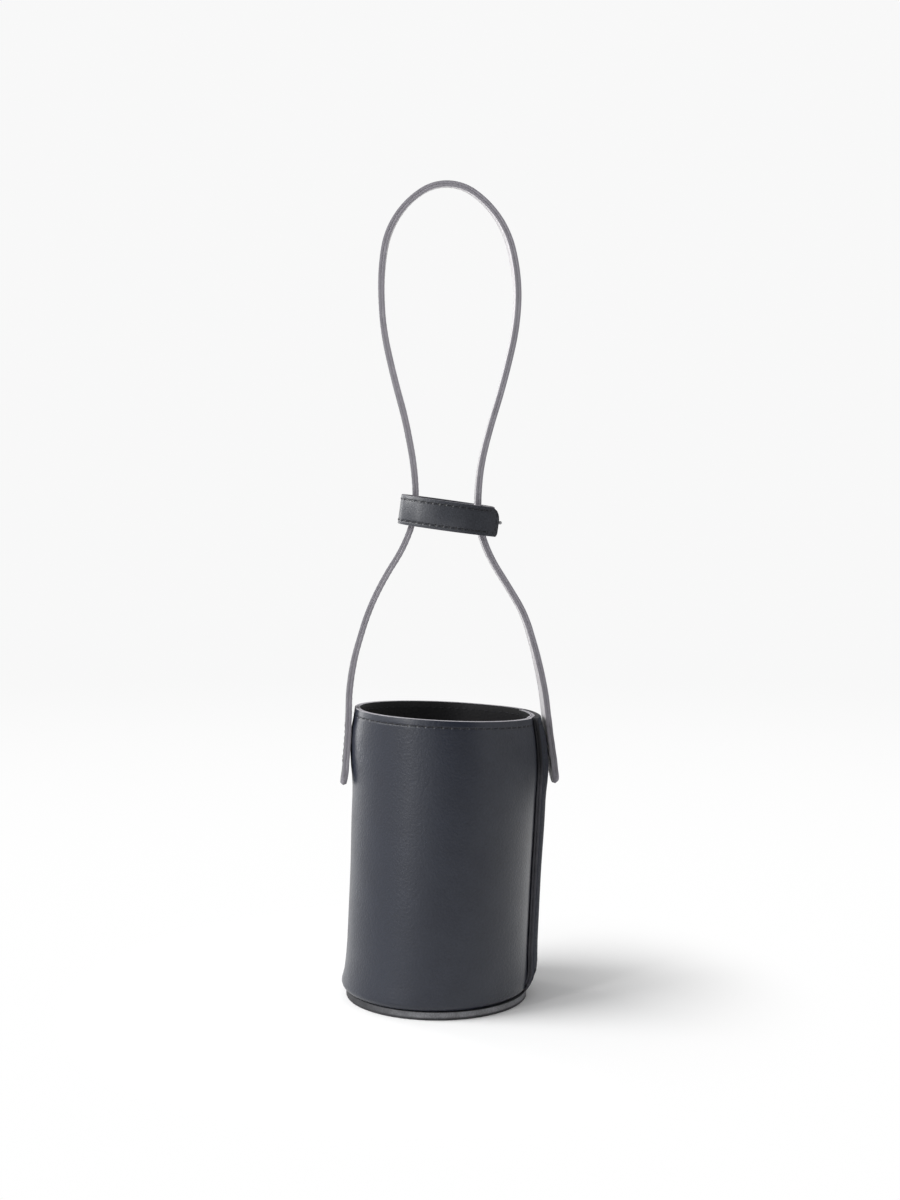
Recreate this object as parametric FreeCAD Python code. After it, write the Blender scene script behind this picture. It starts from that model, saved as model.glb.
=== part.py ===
"""Leather bottle carrier: a lapped cup on a sewn sole, a long strap handle and a sliding neck collar.

Millimetres, +Z up. The origin is on the floor under the middle of the carrier. The two legs of the handle
stand at -X and +X, the front of the cup faces -Y, and the lap of the cup's wall is on the +X side.
"""

import FreeCAD
import Part

import math
import os

Vector = FreeCAD.Vector

# Leather and joints
WALL_LEATHER = 1.5          # outer leather of the cup
LINING_LEATHER = 1.2        # lining of the cup
STRAP_LEATHER = 1.5         # each of the two layers of the handle strap
COLLAR_LEATHER = 1.1        # each of the two layers of the collar
GLUE_GAP = 0.05             # glue line between two layers
LAP_GAP = 0.25              # room inside the lap of the wall
LAP_END_ROOM = 2.0          # room past the covered end of the wall, inside the lap
COLLAR_LAP_GAP = 0.1        # room inside the lap of the collar

# Cup
CUP_WIDTH = 99.0            # across the cup, left side to the outside of the lap
RIM_HEIGHT = 145.5
LAP_EDGE_DEG = -23.0        # outer edge of the lap, about the cup's axis, from +X
LAP_END_DEG = 26.0          # end of the leather inside the lap
LAP_EASE_DEG = 40.0         # turn over which the outer leather eases down behind the lap
FOOT_RADIUS = 4.0           # outside radius of the turned-in foot of the wall
FOOT_FACETS = 3             # flats that stand for the round of the foot
FOOT_FLANGE = 6.0           # flat of the foot that is sewn to the sole
LAP_FOOT_DEG = 50.0         # how far the outer leather of the lap curls at its foot

# Base
SOLE_THICKNESS = 4.0
SOLE_INSET = 1.7            # sole's edge inside the wall's outer face
SOLE_BEVEL = 0.5
INSOLE_THICKNESS = 2.4
STITCH_CHANNEL_WIDTH = 2.0
STITCH_CHANNEL_DEPTH = 1.2

# Handle strap: each width is between the strap's middles, and each rise is from the place named before it
STRAP_WIDTH = 15.0
ANCHOR_DROP = 6.5           # rim down to the sewn field
ANCHOR_HEIGHT = 19.0        # height of the sewn field
TIP_LENGTH = 11.0           # loose end below the sewn field
TIP_FLARE = 2.6             # how far the loose end stands off
TIP_LEAN_DEG = 17.0
SHOULDER_RISE = 41.5        # from the rim
SHOULDER_WIDTH = 85.0
SHOULDER_LEAN_DEG = 16.6
THROAT_RISE = 32.3          # to just below the collar
THROAT_WIDTH = 52.8
THROAT_LEAN_DEG = 32.6
NECK_RISE = 32.7
NECK_GAP = 28.6             # free gap between the two legs at the neck
FLARE_RISE = 49.0
FLARE_WIDTH = 48.4
FLARE_LEAN_DEG = 16.2
LOOP_RISE = 56.6            # to the widest part of the hand loop
LOOP_WIDTH = 69.0
CROWN_RISE = 40.4           # to where the crown starts
CROWN_WIDTH = 47.2
CROWN_LEAN_DEG = 38.0
TOP_RISE = 13.7             # to the middle of the strap at the top

# Collar
COLLAR_WIDTH = 14.7         # width of the collar's strip
COLLAR_DROP = 7.5           # neck down to the middle of the collar
COLLAR_TILT_DEG = 7.5       # its right side hangs lower
COLLAR_SEAT_GAP = 0.35      # room to the right leg, on which the lower edge of the collar rests
COLLAR_PLAY = 3.2           # room to the left leg at the lower edge
COLLAR_DEPTH = 34.0         # inside, front to back
COLLAR_EDGE_ROOM = 0.5      # room beside a leg on the flat stretch of each end
COLLAR_TIP_REACH = 6.5      # how far the round tip reaches past the middle of the right end

# Thread
THREAD = 0.6                # width of a stitch
THREAD_PROUD = 0.35         # how far a stitch stands off the leather
THREAD_GAP = 0.02           # room between a stitch and the leather
STITCH_SHARE = 0.75         # share of the pitch that a stitch covers
RIM_PITCH = 4.2
STRAP_PITCH = 3.4
RIM_MARGIN = 3.4            # rim to its row of stitches
LAP_MARGIN = 5.0            # lap edge to its row of stitches
STRAP_MARGIN = 2.0          # strap edge to a row of stitches
KNOT_RADIUS = 0.9           # melted end of the collar's closing thread
KNOT_STAND = 1.4            # length of thread under the knot

# Worked out from the sizes above
STRAP_THICKNESS = 2 * STRAP_LEATHER + GLUE_GAP
COLLAR_THICKNESS = 2 * COLLAR_LEATHER + GLUE_GAP
WALL_THICKNESS = WALL_LEATHER + GLUE_GAP + LINING_LEATHER
LAP_STEP = WALL_THICKNESS + LAP_GAP
CUP_RADIUS = (CUP_WIDTH - LAP_STEP) / 2
CUP_CENTRE = (-LAP_STEP / 2, 0.0)
FOOT_HEIGHT = SOLE_THICKNESS + GLUE_GAP
WALL_START = FOOT_HEIGHT + FOOT_RADIUS
STRAP_SEAT = THREAD_GAP + THREAD_PROUD + GLUE_GAP     # the strap lies over the rim's thread
SEAT_X = CUP_WIDTH / 2 + STRAP_SEAT + STRAP_THICKNESS / 2
ANCHOR_BOTTOM = RIM_HEIGHT - ANCHOR_DROP - ANCHOR_HEIGHT
SHOULDER_HEIGHT = RIM_HEIGHT + SHOULDER_RISE
THROAT_HEIGHT = SHOULDER_HEIGHT + THROAT_RISE
NECK_HEIGHT = THROAT_HEIGHT + NECK_RISE
NECK_X = (NECK_GAP + STRAP_THICKNESS) / 2
FLARE_HEIGHT = NECK_HEIGHT + FLARE_RISE
LOOP_HEIGHT = FLARE_HEIGHT + LOOP_RISE
CROWN_HEIGHT = LOOP_HEIGHT + CROWN_RISE
COLLAR_HEIGHT = NECK_HEIGHT - COLLAR_DROP
SOLE_SEAM_RADIUS = CUP_RADIUS - FOOT_RADIUS - FOOT_FLANGE / 2
COLLAR_FLAT = STRAP_WIDTH + 2 * COLLAR_EDGE_ROOM
SMALL_TURN = 1e-6
SEAT_STEPS = 12             # rounds in which the collar's inside settles against a leg


# Flat paths of straight runs and arcs. A run is (start, end). An arc is (centre, radius, first, last), with
# its first and last angle in radians.
def is_arc(piece):
    return len(piece) == 4


def polar(centre, radius, angle):
    return (centre[0] + radius * math.cos(angle), centre[1] + radius * math.sin(angle))


def heading(degrees):
    """Unit direction that leans by this angle from straight up, to the left when positive."""
    return (-math.sin(math.radians(degrees)), math.cos(math.radians(degrees)))


def arc_through(start, direction, end):
    """The arc, or straight run, that leaves start in a direction and reaches end."""
    dx, dy = end[0] - start[0], end[1] - start[1]
    across = direction[0] * dy - direction[1] * dx
    chord = math.hypot(dx, dy)
    if abs(across) < SMALL_TURN * chord:
        return (start, end)
    radius = chord * chord / (2 * across)
    centre = (start[0] - direction[1] * radius, start[1] + direction[0] * radius)
    first = math.atan2(start[1] - centre[1], start[0] - centre[0])
    turn = 2 * math.atan2(across, direction[0] * dx + direction[1] * dy)
    return (centre, abs(radius), first, first + turn)


def biarc(start, start_direction, end, end_direction):
    """Two arcs that meet smoothly and leave both points in their given directions."""
    vx, vy = end[0] - start[0], end[1] - start[1]
    tx, ty = start_direction[0] + end_direction[0], start_direction[1] + end_direction[1]
    v_t, v_v = vx * tx + vy * ty, vx * vx + vy * vy
    spread = 2 * (1 - start_direction[0] * end_direction[0] - start_direction[1] * end_direction[1])
    if spread < SMALL_TURN:
        reach = v_v / (4 * (vx * end_direction[0] + vy * end_direction[1]))
    else:
        reach = (-v_t + math.sqrt(v_t * v_t + spread * v_v)) / spread
    joint = ((start[0] + end[0] + reach * (start_direction[0] - end_direction[0])) / 2,
             (start[1] + end[1] + reach * (start_direction[1] - end_direction[1])) / 2)
    back = arc_through(end, (-end_direction[0], -end_direction[1]), joint)
    second = (back[0], back[1], back[3], back[2]) if is_arc(back) else (back[1], back[0])
    return [arc_through(start, start_direction, joint), second]


def smooth_path(stations):
    """Path through stations of (point, direction)."""
    path = []
    for (start, start_direction), (end, end_direction) in zip(stations, stations[1:]):
        path += biarc(start, start_direction, end, end_direction)
    return path


def offset_piece(piece, left):
    """The same piece moved to the left of its direction of travel."""
    if is_arc(piece):
        centre, radius, first, last = piece
        return (centre, radius - left if last > first else radius + left, first, last)
    (x0, y0), (x1, y1) = piece
    length = math.hypot(x1 - x0, y1 - y0)
    nx, ny = -(y1 - y0) / length * left, (x1 - x0) / length * left
    return ((x0 + nx, y0 + ny), (x1 + nx, y1 + ny))


def piece_ends(piece):
    if is_arc(piece):
        return polar(piece[0], piece[1], piece[2]), polar(piece[0], piece[1], piece[3])
    return piece


def piece_edge(piece, place):
    """The piece as an edge, with place turning its flat points into points in space."""
    start, end = piece_ends(piece)
    if is_arc(piece):
        middle = polar(piece[0], piece[1], (piece[2] + piece[3]) / 2)
        return Part.Arc(place(*start), place(*middle), place(*end)).toShape()
    return Part.LineSegment(place(*start), place(*end)).toShape()


def strip(path, right, left, place, sweep):
    """Solid of a sheet that follows a path, between two distances to its left, swept square to the plane."""
    outer = [offset_piece(piece, right) for piece in path]
    inner = [offset_piece(piece, left) for piece in path]
    caps = [(piece_ends(outer[0])[0], piece_ends(inner[0])[0]),
            (piece_ends(outer[-1])[1], piece_ends(inner[-1])[1])]
    edges = [piece_edge(piece, place) for piece in outer + inner + caps]
    wire = Part.Wire(Part.__sortEdges__(edges))
    return Part.Face(wire).extrude(sweep)


def in_floor_plane(height):
    return lambda x, y: Vector(x, y, height)


def in_handle_plane(y):
    return lambda x, z: Vector(x, y, z)


def export(node, shapes):
    """Writes one named sub-part. Several solids are kept as one group."""
    shape = shapes if isinstance(shapes, Part.Shape) else Part.makeCompound(shapes)
    shape.exportStep(os.path.join("parts", node + ".step"))
    print(f"{node}: {len(shape.Solids)} solid(s), {shape.Volume / 1000:.2f} cm3, valid {shape.isValid()}")


# Cup
def lap_pieces():
    """Outer face of the wall, counter-clockwise: the lap, and then the turn that ends inside the lap."""
    edge, end = math.radians(LAP_EDGE_DEG), math.radians(LAP_END_DEG)
    eased = end + math.radians(LAP_EASE_DEG)
    inside_end = end + 2 * math.pi - LAP_END_ROOM / CUP_RADIUS
    high, low = polar(CUP_CENTRE, CUP_RADIUS + LAP_STEP, end), polar(CUP_CENTRE, CUP_RADIUS, eased)
    lap = [(CUP_CENTRE, CUP_RADIUS + LAP_STEP, edge, end)]
    ease = biarc(high, (-math.sin(end), math.cos(end)), low, (-math.sin(eased), math.cos(eased)))
    return lap, ease + [(CUP_CENTRE, CUP_RADIUS, eased, inside_end)]


def foot_section(curl_degrees, flange):
    """Section of the wall and its turned-in foot, in (depth under the outer face, height).

    The fold is nearly round outside and filled to a flat inside, where it is pressed and skived.
    """
    centre = (FOOT_RADIUS, WALL_START)
    curl = math.radians(curl_degrees)
    fold = [polar(centre, FOOT_RADIUS, math.pi + curl * i / FOOT_FACETS) for i in range(FOOT_FACETS + 1)]
    heel, toe = fold[-1], polar(centre, FOOT_RADIUS - WALL_LEATHER, math.pi + curl)
    low, high = (heel[0] + flange, heel[1]), (toe[0] + flange, toe[1])
    outside = [(0.0, RIM_HEIGHT)] + fold
    inside = [toe, (WALL_LEATHER, WALL_START), (WALL_LEATHER, RIM_HEIGHT)]
    return outside + ([low, high] if flange else []) + inside


def turned(section, arc):
    """Solid of a section carried round one arc of the wall."""
    centre, radius, first, last = arc
    corners = [Vector(*polar(centre, radius - depth, first), height) for depth, height in section]
    face = Part.Face(Part.makePolygon(corners + corners[:1]))
    return face.revolve(Vector(*centre, 0), Vector(0, 0, 1), math.degrees(last - first))


def cup_wall():
    lap, rest = lap_pieces()
    solids = [turned(foot_section(LAP_FOOT_DEG, 0), arc) for arc in lap]
    solids += [turned(foot_section(90, FOOT_FLANGE), arc) for arc in rest]
    return solids[0].fuse(solids[1:]).removeSplitter()


def wall_lining():
    lap, rest = lap_pieces()
    depth = WALL_LEATHER + GLUE_GAP
    rise = Vector(0, 0, RIM_HEIGHT - WALL_START)
    return strip(lap + rest, depth, depth + LINING_LEATHER, in_floor_plane(WALL_START), rise)


def sole():
    radius = CUP_RADIUS - SOLE_INSET
    centre = Vector(*CUP_CENTRE, 0)
    bevel = Part.makeCone(radius - SOLE_BEVEL, radius, SOLE_BEVEL, centre)
    body = Part.makeCylinder(radius, SOLE_THICKNESS - SOLE_BEVEL, centre + Vector(0, 0, SOLE_BEVEL))
    disc = bevel.fuse(body).removeSplitter()
    half = STITCH_CHANNEL_WIDTH / 2
    channel = Part.makeCylinder(SOLE_SEAM_RADIUS + half, STITCH_CHANNEL_DEPTH, centre)
    return disc.cut(channel.cut(Part.makeCylinder(SOLE_SEAM_RADIUS - half, STITCH_CHANNEL_DEPTH, centre)))


def insole():
    bottom = FOOT_HEIGHT + WALL_LEATHER + GLUE_GAP
    return Part.makeCylinder(CUP_RADIUS - FOOT_RADIUS, INSOLE_THICKNESS, Vector(*CUP_CENTRE, bottom))


# Stitches round an upright axis, as short straight bars
def ring_stitch(centre, radius, angle, size, low):
    """A bar that stands on a circle at an angle in radians. Its size is outward, along the circle and up."""
    bar = Part.makeBox(size.x, size.y, size.z, Vector(radius, -size.y / 2, low))
    bar.rotate(Vector(0, 0, 0), Vector(0, 0, 1), math.degrees(angle))
    bar.translate(Vector(*centre, 0))
    return bar


def rim_stitching():
    lap, rest = lap_pieces()
    shown = lap + rest[:-1] + [(CUP_CENTRE, CUP_RADIUS, rest[-1][2], math.radians(360 + LAP_EDGE_DEG))]
    low = RIM_HEIGHT - RIM_MARGIN - THREAD / 2
    stitches = []
    for centre, radius, first, last in shown:
        count = max(1, round(radius * (last - first) / RIM_PITCH))
        pitch = (last - first) / count
        size = Vector(THREAD_PROUD, STITCH_SHARE * pitch * radius, THREAD)
        stitches += [ring_stitch(centre, radius + THREAD_GAP, first + (i + 0.5) * pitch, size, low)
                     for i in range(count)]
    return stitches


def lap_stitching():
    radius = CUP_RADIUS + LAP_STEP
    middle = math.radians(LAP_EDGE_DEG) + LAP_MARGIN / radius
    low, high = WALL_START, RIM_HEIGHT - RIM_MARGIN - RIM_PITCH / 2
    count = round((high - low) / RIM_PITCH)
    pitch = (high - low) / count
    size = Vector(THREAD_PROUD, THREAD, STITCH_SHARE * pitch)
    start = low + (pitch - size.z) / 2
    return [ring_stitch(CUP_CENTRE, radius + THREAD_GAP, middle, size, start + i * pitch)
            for i in range(count)]


def sole_stitching():
    count = round(2 * math.pi * SOLE_SEAM_RADIUS / RIM_PITCH)
    pitch = 2 * math.pi / count
    size = Vector(THREAD, STITCH_SHARE * pitch * SOLE_SEAM_RADIUS, THREAD_PROUD)
    low = STITCH_CHANNEL_DEPTH - THREAD_GAP - THREAD_PROUD
    radius = SOLE_SEAM_RADIUS - THREAD / 2
    return [ring_stitch(CUP_CENTRE, radius, i * pitch, size, low) for i in range(count)]


# Handle
def leg_stations(side):
    """Stations of one leg, from its tip up to the loop, for the right leg (1) or the left leg (-1)."""
    droop = -side * NECK_X * math.tan(math.radians(COLLAR_TILT_DEG))
    rows = [(SEAT_X + TIP_FLARE, ANCHOR_BOTTOM - TIP_LENGTH, TIP_LEAN_DEG),
            (SEAT_X, ANCHOR_BOTTOM, 0),
            (SEAT_X, RIM_HEIGHT, 0),
            (SHOULDER_WIDTH / 2, SHOULDER_HEIGHT, SHOULDER_LEAN_DEG),
            (THROAT_WIDTH / 2, THROAT_HEIGHT + droop, THROAT_LEAN_DEG),
            (NECK_X, NECK_HEIGHT + droop, 0),
            (FLARE_WIDTH / 2, FLARE_HEIGHT, -FLARE_LEAN_DEG),
            (LOOP_WIDTH / 2, LOOP_HEIGHT, 0),
            (CROWN_WIDTH / 2, CROWN_HEIGHT, CROWN_LEAN_DEG)]
    return [((side * x, z), heading(side * lean)) for x, z, lean in rows]


def handle_path():
    """Middle of the strap from the right tip, over the crown, to the left tip."""
    crown = ((0.0, CROWN_HEIGHT + TOP_RISE), (-1.0, 0.0))
    down = [(point, (-dx, -dy)) for point, (dx, dy) in reversed(leg_stations(-1))]
    return smooth_path(leg_stations(1) + [crown] + down)


def tip_waste(side):
    """What is cut off one lower end of the strap, square to its face, to leave a half round."""
    (x, z), (lean, rise) = leg_stations(side)[0]
    radius = STRAP_WIDTH / 2
    tip, across = Vector(x, 0, z), Vector(0, STRAP_WIDTH, 0)
    along, through = Vector(lean, 0, rise) * radius, Vector(rise, 0, -lean) * STRAP_WIDTH
    corners = [tip - across - along, tip + across - along, tip + across + along, tip - across + along]
    keep = Part.Face(Part.Wire(Part.makeCircle(radius, tip + along, through)))
    waste = Part.Face(Part.makePolygon(corners + corners[:1])).cut(keep)
    waste.translate(-through / 2)
    return waste.extrude(through)


def handle_layer(right, left):
    across = Vector(0, STRAP_WIDTH, 0)
    strap = strip(handle_path(), right, left, in_handle_plane(-STRAP_WIDTH / 2), across)
    return strap.cut([tip_waste(1), tip_waste(-1)])


def handle_outer():
    return handle_layer(-STRAP_THICKNESS / 2, -GLUE_GAP / 2)


def handle_lining():
    return handle_layer(GLUE_GAP / 2, STRAP_THICKNESS / 2)


def row_of_bars(start, step, count, size):
    """Boxes of one size, in a row of steps from the middle of the first."""
    corner = start - size / 2
    return [Part.makeBox(size.x, size.y, size.z, corner + step * i) for i in range(count)]


def anchor_stitching(side):
    """A box of stitches on the outside of the strap, through the strap and the cup."""
    face = side * (SEAT_X + STRAP_THICKNESS / 2 + THREAD_GAP + THREAD_PROUD / 2)
    half = STRAP_WIDTH / 2 - STRAP_MARGIN
    rows = round(ANCHOR_HEIGHT / STRAP_PITCH)
    columns = round(2 * half / STRAP_PITCH)
    rise, run = ANCHOR_HEIGHT / rows, 2 * half / columns
    upright = Vector(THREAD_PROUD, THREAD, rise * STITCH_SHARE)
    level = Vector(THREAD_PROUD, run * STITCH_SHARE, THREAD)
    bars = []
    for y in (-half, half):
        bars += row_of_bars(Vector(face, y, ANCHOR_BOTTOM + rise / 2), Vector(0, 0, rise), rows, upright)
    for z in (ANCHOR_BOTTOM, ANCHOR_BOTTOM + ANCHOR_HEIGHT):
        bars += row_of_bars(Vector(face, -half + run / 2, z), Vector(0, run, 0), columns, level)
    return bars


# Collar, drawn level round the origin and then tilted into its place
def leg_face(side, height):
    """How far from the middle the outer face of one leg is, at a height."""
    face = Part.Compound([piece_edge(offset_piece(piece, -STRAP_THICKNESS / 2), in_handle_plane(0))
                          for piece in handle_path()])
    level = Part.LineSegment(Vector(0, 0, height), Vector(side * CUP_WIDTH, 0, height)).toShape()
    return abs(face.distToShape(level)[1][0][0].x)


def collar_inside(side, room):
    """Inside half length of the collar that leaves this room to a leg at the collar's lower edge."""
    tilt = math.radians(COLLAR_TILT_DEG)
    drop = COLLAR_WIDTH / 2
    reach = NECK_X
    for _ in range(SEAT_STEPS):
        height = COLLAR_HEIGHT - side * reach * math.sin(tilt) - drop * math.cos(tilt)
        reach = (leg_face(side, height) + room + side * drop * math.sin(tilt)) / math.cos(tilt)
    return reach


COLLAR_RIGHT = collar_inside(1, COLLAR_SEAT_GAP)
COLLAR_LEFT = collar_inside(-1, COLLAR_PLAY)
COLLAR_OVER = COLLAR_RIGHT + COLLAR_THICKNESS + COLLAR_LAP_GAP
COLLAR_FACE = COLLAR_OVER + COLLAR_THICKNESS


def collar_path():
    """Inside of the collar, counter-clockwise from its covered end to its round tip at the right end."""
    flat, half = COLLAR_FLAT / 2, COLLAR_DEPTH / 2
    up, down, leftward, rightward = (0.0, 1.0), (0.0, -1.0), (-1.0, 0.0), (1.0, 0.0)
    back = [((COLLAR_RIGHT, -flat), up), ((COLLAR_RIGHT, flat), up), ((0.0, half), leftward)]
    front = [((-COLLAR_LEFT, flat), down), ((-COLLAR_LEFT, -flat), down), ((0.0, -half), rightward)]
    lap = [((COLLAR_OVER, -flat), up), ((COLLAR_OVER, COLLAR_TIP_REACH), up)]
    return smooth_path(back + front + lap)


def in_place(shape):
    tilted = shape.copy()
    tilted.rotate(Vector(0, 0, 0), Vector(0, 1, 0), COLLAR_TILT_DEG)
    tilted.translate(Vector(0, 0, COLLAR_HEIGHT))
    return tilted


def round_collar_tip(layer):
    """Cuts the tip of the collar, at the back of its right end, to a half round."""
    radius = COLLAR_WIDTH / 2
    middle = Vector(COLLAR_OVER - COLLAR_LAP_GAP / 2, COLLAR_TIP_REACH - radius, 0)
    waste = Part.makeBox(COLLAR_WIDTH, 2 * radius, COLLAR_WIDTH, middle - Vector(0, 0, radius))
    return layer.cut(waste.cut(Part.makeCylinder(radius, COLLAR_WIDTH, middle, Vector(1, 0, 0))))


def collar_layer(right, left):
    sheet = strip(collar_path(), right, left, in_floor_plane(-COLLAR_WIDTH / 2), Vector(0, 0, COLLAR_WIDTH))
    return in_place(round_collar_tip(sheet))


def collar_lining():
    return collar_layer(-COLLAR_LEATHER, 0)


def collar_outer():
    return collar_layer(-COLLAR_THICKNESS, -COLLAR_LEATHER - GLUE_GAP)


def collar_seam_stitching():
    """Upright row of stitches that closes the lapped end of the collar."""
    half = COLLAR_WIDTH / 2 - STRAP_MARGIN
    count = round(2 * half / STRAP_PITCH)
    pitch = 2 * half / count
    size = Vector(THREAD_PROUD, THREAD, pitch * STITCH_SHARE)
    face = COLLAR_FACE + THREAD_GAP + THREAD_PROUD / 2
    start = Vector(face, STRAP_MARGIN - COLLAR_FLAT / 2, pitch / 2 - half)
    return [in_place(bar) for bar in row_of_bars(start, Vector(0, 0, pitch), count, size)]


def collar_knot():
    """Melted end of the closing thread, on a short stem in the middle of the tip."""
    start = Vector(COLLAR_FACE + THREAD_GAP, 0, 0)
    out, top = Vector(1, 0, 0), start + Vector(KNOT_STAND, 0, 0)
    stem = Part.makeCylinder(THREAD / 2, KNOT_STAND, start, out)
    bead = [Part.makeCone(KNOT_RADIUS, THREAD / 2, KNOT_RADIUS, top, side) for side in (out, -out)]
    return in_place(stem.fuse(bead).removeSplitter())


PARTS = {
    "cup_wall": cup_wall,
    "wall_lining": wall_lining,
    "insole": insole,
    "sole": sole,
    "rim_stitching": rim_stitching,
    "lap_stitching": lap_stitching,
    "sole_stitching": sole_stitching,
    "handle_outer": handle_outer,
    "handle_lining": handle_lining,
    "left_anchor_stitching": lambda: anchor_stitching(-1),
    "right_anchor_stitching": lambda: anchor_stitching(1),
    "collar_outer": collar_outer,
    "collar_lining": collar_lining,
    "collar_seam_stitching": collar_seam_stitching,
    "collar_knot": collar_knot,
}

os.makedirs("parts", exist_ok=True)
for node, make in PARTS.items():
    export(node, make())
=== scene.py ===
# %% [markdown]
# # A leather bottle carrier
# The carrier is all leather and thread. One sheet is rolled into a lined cup and lapped at the right side,
# a sole is sewn under it, one long strap makes both legs and the hand loop, and a small collar slides on
# the legs. The CAD solids hold the sizes. This lesson makes the surfaces that are seen: each sheet of
# leather is a section that Blender's Spin tool carries along arcs, and every stitch is a copy of one small
# mesh.

# %% The frame
import cmath
import math
import random

import bpy
from mathutils import Matrix, Vector


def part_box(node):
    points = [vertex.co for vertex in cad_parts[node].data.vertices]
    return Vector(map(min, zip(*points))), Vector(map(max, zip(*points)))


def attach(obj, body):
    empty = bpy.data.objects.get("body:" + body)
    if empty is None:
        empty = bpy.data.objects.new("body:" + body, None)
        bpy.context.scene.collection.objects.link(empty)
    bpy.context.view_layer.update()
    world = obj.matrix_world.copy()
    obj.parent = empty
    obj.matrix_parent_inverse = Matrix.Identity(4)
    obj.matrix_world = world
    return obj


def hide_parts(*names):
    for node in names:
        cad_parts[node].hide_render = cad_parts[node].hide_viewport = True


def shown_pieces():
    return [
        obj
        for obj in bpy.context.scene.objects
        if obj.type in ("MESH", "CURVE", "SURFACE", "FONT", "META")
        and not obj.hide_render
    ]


MM = 0.001
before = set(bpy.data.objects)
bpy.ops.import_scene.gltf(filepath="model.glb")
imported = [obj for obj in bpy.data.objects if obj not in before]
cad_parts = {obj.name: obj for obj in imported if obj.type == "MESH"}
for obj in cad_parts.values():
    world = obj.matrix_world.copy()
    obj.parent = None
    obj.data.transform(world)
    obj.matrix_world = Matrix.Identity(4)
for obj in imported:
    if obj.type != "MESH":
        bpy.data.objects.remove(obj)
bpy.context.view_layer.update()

# %% [markdown]
# ## Working in edit mode from a script
# An operator acts on what is selected and active, so each step starts by selecting one object alone. These
# few helpers do that, start a primitive, turn faces outwards, apply a Bevel that rounds the cut edges a
# little, and print how far a finished piece lies from the box of the CAD solid that it stands for.

# %% Helpers
def mm(*sizes):
    """Sizes in millimetres, turned into metres."""
    return [size * MM for size in sizes]


def only(*objects):
    """Selects these objects alone and makes the first one active."""
    bpy.ops.object.select_all(action="DESELECT")
    for obj in objects:
        obj.select_set(True)
    bpy.context.view_layer.objects.active = objects[0]


def edit_all(obj, kind="FACE"):
    """Goes into edit mode on one object with all of it selected."""
    only(obj)
    bpy.ops.object.mode_set(mode="EDIT")
    bpy.ops.mesh.select_mode(type=kind)
    bpy.ops.mesh.select_all(action="SELECT")


def edit_faces(obj, wanted):
    """Goes into edit mode on one object with the faces selected for which wanted(face) is true."""
    edit_all(obj)
    bpy.ops.mesh.select_all(action="DESELECT")
    bpy.ops.object.mode_set(mode="OBJECT")
    for face in obj.data.polygons:
        face.select = wanted(face)
    bpy.ops.object.mode_set(mode="EDIT")


def leave_edit():
    bpy.ops.object.mode_set(mode="OBJECT")


def fresh(name, add_primitive, scale=(1, 1, 1), **settings):
    """Adds a primitive with nothing else selected, names it and applies its place."""
    bpy.ops.object.select_all(action="DESELECT")
    add_primitive(**settings)
    obj = bpy.context.object
    obj.name = name
    obj.scale = scale
    bpy.ops.object.transform_apply(location=True, rotation=True, scale=True)
    return obj


def face_outwards(obj):
    """Turns the faces of a closed piece outwards."""
    edit_all(obj)
    bpy.ops.mesh.normals_make_consistent(inside=False)
    leave_edit()


# %% Helpers that finish a piece
def round_edges(obj, width, sharper_than=40):
    """Applies a Bevel to the edges that turn more than an angle in degrees, and shades the rest smooth."""
    only(obj)
    bevel = obj.modifiers.new("rounded edges", "BEVEL")
    bevel.width = width
    bevel.segments = 2
    bevel.limit_method = "ANGLE"
    bevel.angle_limit = math.radians(sharper_than)
    bpy.ops.object.modifier_apply(modifier=bevel.name)
    bpy.ops.object.shade_smooth_by_angle(angle=math.radians(sharper_than))


def stands_for(obj, body, slot, *nodes):
    """Lets a piece ride on a body in place of CAD nodes, and prints how far its box is from theirs."""
    if body == "carrier":
        for vertex in obj.data.vertices:
            vertex.co = settled(vertex.co, obj.name)
    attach(obj, body)
    corners = [vertex.co for vertex in obj.data.vertices]
    low, high = [Vector(pick(c[i] for c in corners) for i in range(3)) for pick in (min, max)]
    text = f"{obj.name}: {len(obj.data.polygons)} faces"
    if nodes:
        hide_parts(*nodes)
        boxes = [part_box(node) for node in nodes]
        low_gap = [low[i] - min(box[0][i] for box in boxes) for i in range(3)]
        high_gap = [high[i] - max(box[1][i] for box in boxes) for i in range(3)]
        text += f", {max(map(abs, low_gap + high_gap)) / MM:.2f} mm from the box of {', '.join(nodes)}"
    print(text)


# %% [markdown]
# ## How soft leather settles
# The drawing of the carrier is upright and exact, but the leather one leans a little to the right above its
# foot. The sides of its mouth are drawn in, its wall swells where the strap is sewn on, and the strap's
# ends stand off. The rim tilts with the lean, the foot is pushed to the left, and the wall is tucked in
# where the lap's edge lies. Higher up, the strap turns a little to the left and sways, and its crown rolls
# forward. All pieces that sit on each other move by one rule, so that threads stay in their leather.

# %% How much settles, and where
LEAN = 0.041
LEAN_FOOT, LEAN_TOP, LEAN_OVER = mm(52, 110, 178)
DRAWN_IN, MOUTH_DRAWN_IN = mm(1.1, 1.2)
WALL_SWELL, STRAP_SWELL, STRAP_CLOSE = mm(1.3, 1.9, 0.7)
SIDE_REACH, SIDE_DEPTH = mm(51.4, 25)
WAIST, FOOT_PUSH, SOLE_PUSH = mm(0.65, 1.5, 0.4)
TUCK, LAP_HUG = mm(0.8, 1.5)
CUP_MIDDLE = -1.5 * MM
WALL_UNDER_LAP, LINING_UNDER_LAP = mm(48.9, 47.3)       # the sheet under the lap is nearer to the axis
LOOP_SWAY = 1.0 * MM
CROWN_ROLL, CROWN_TILT, CROWN_LIFT = 0.2, 0.025, 1.0 * MM
STRAP_TURN = -3.2                                       # degrees about the upright axis
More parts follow.
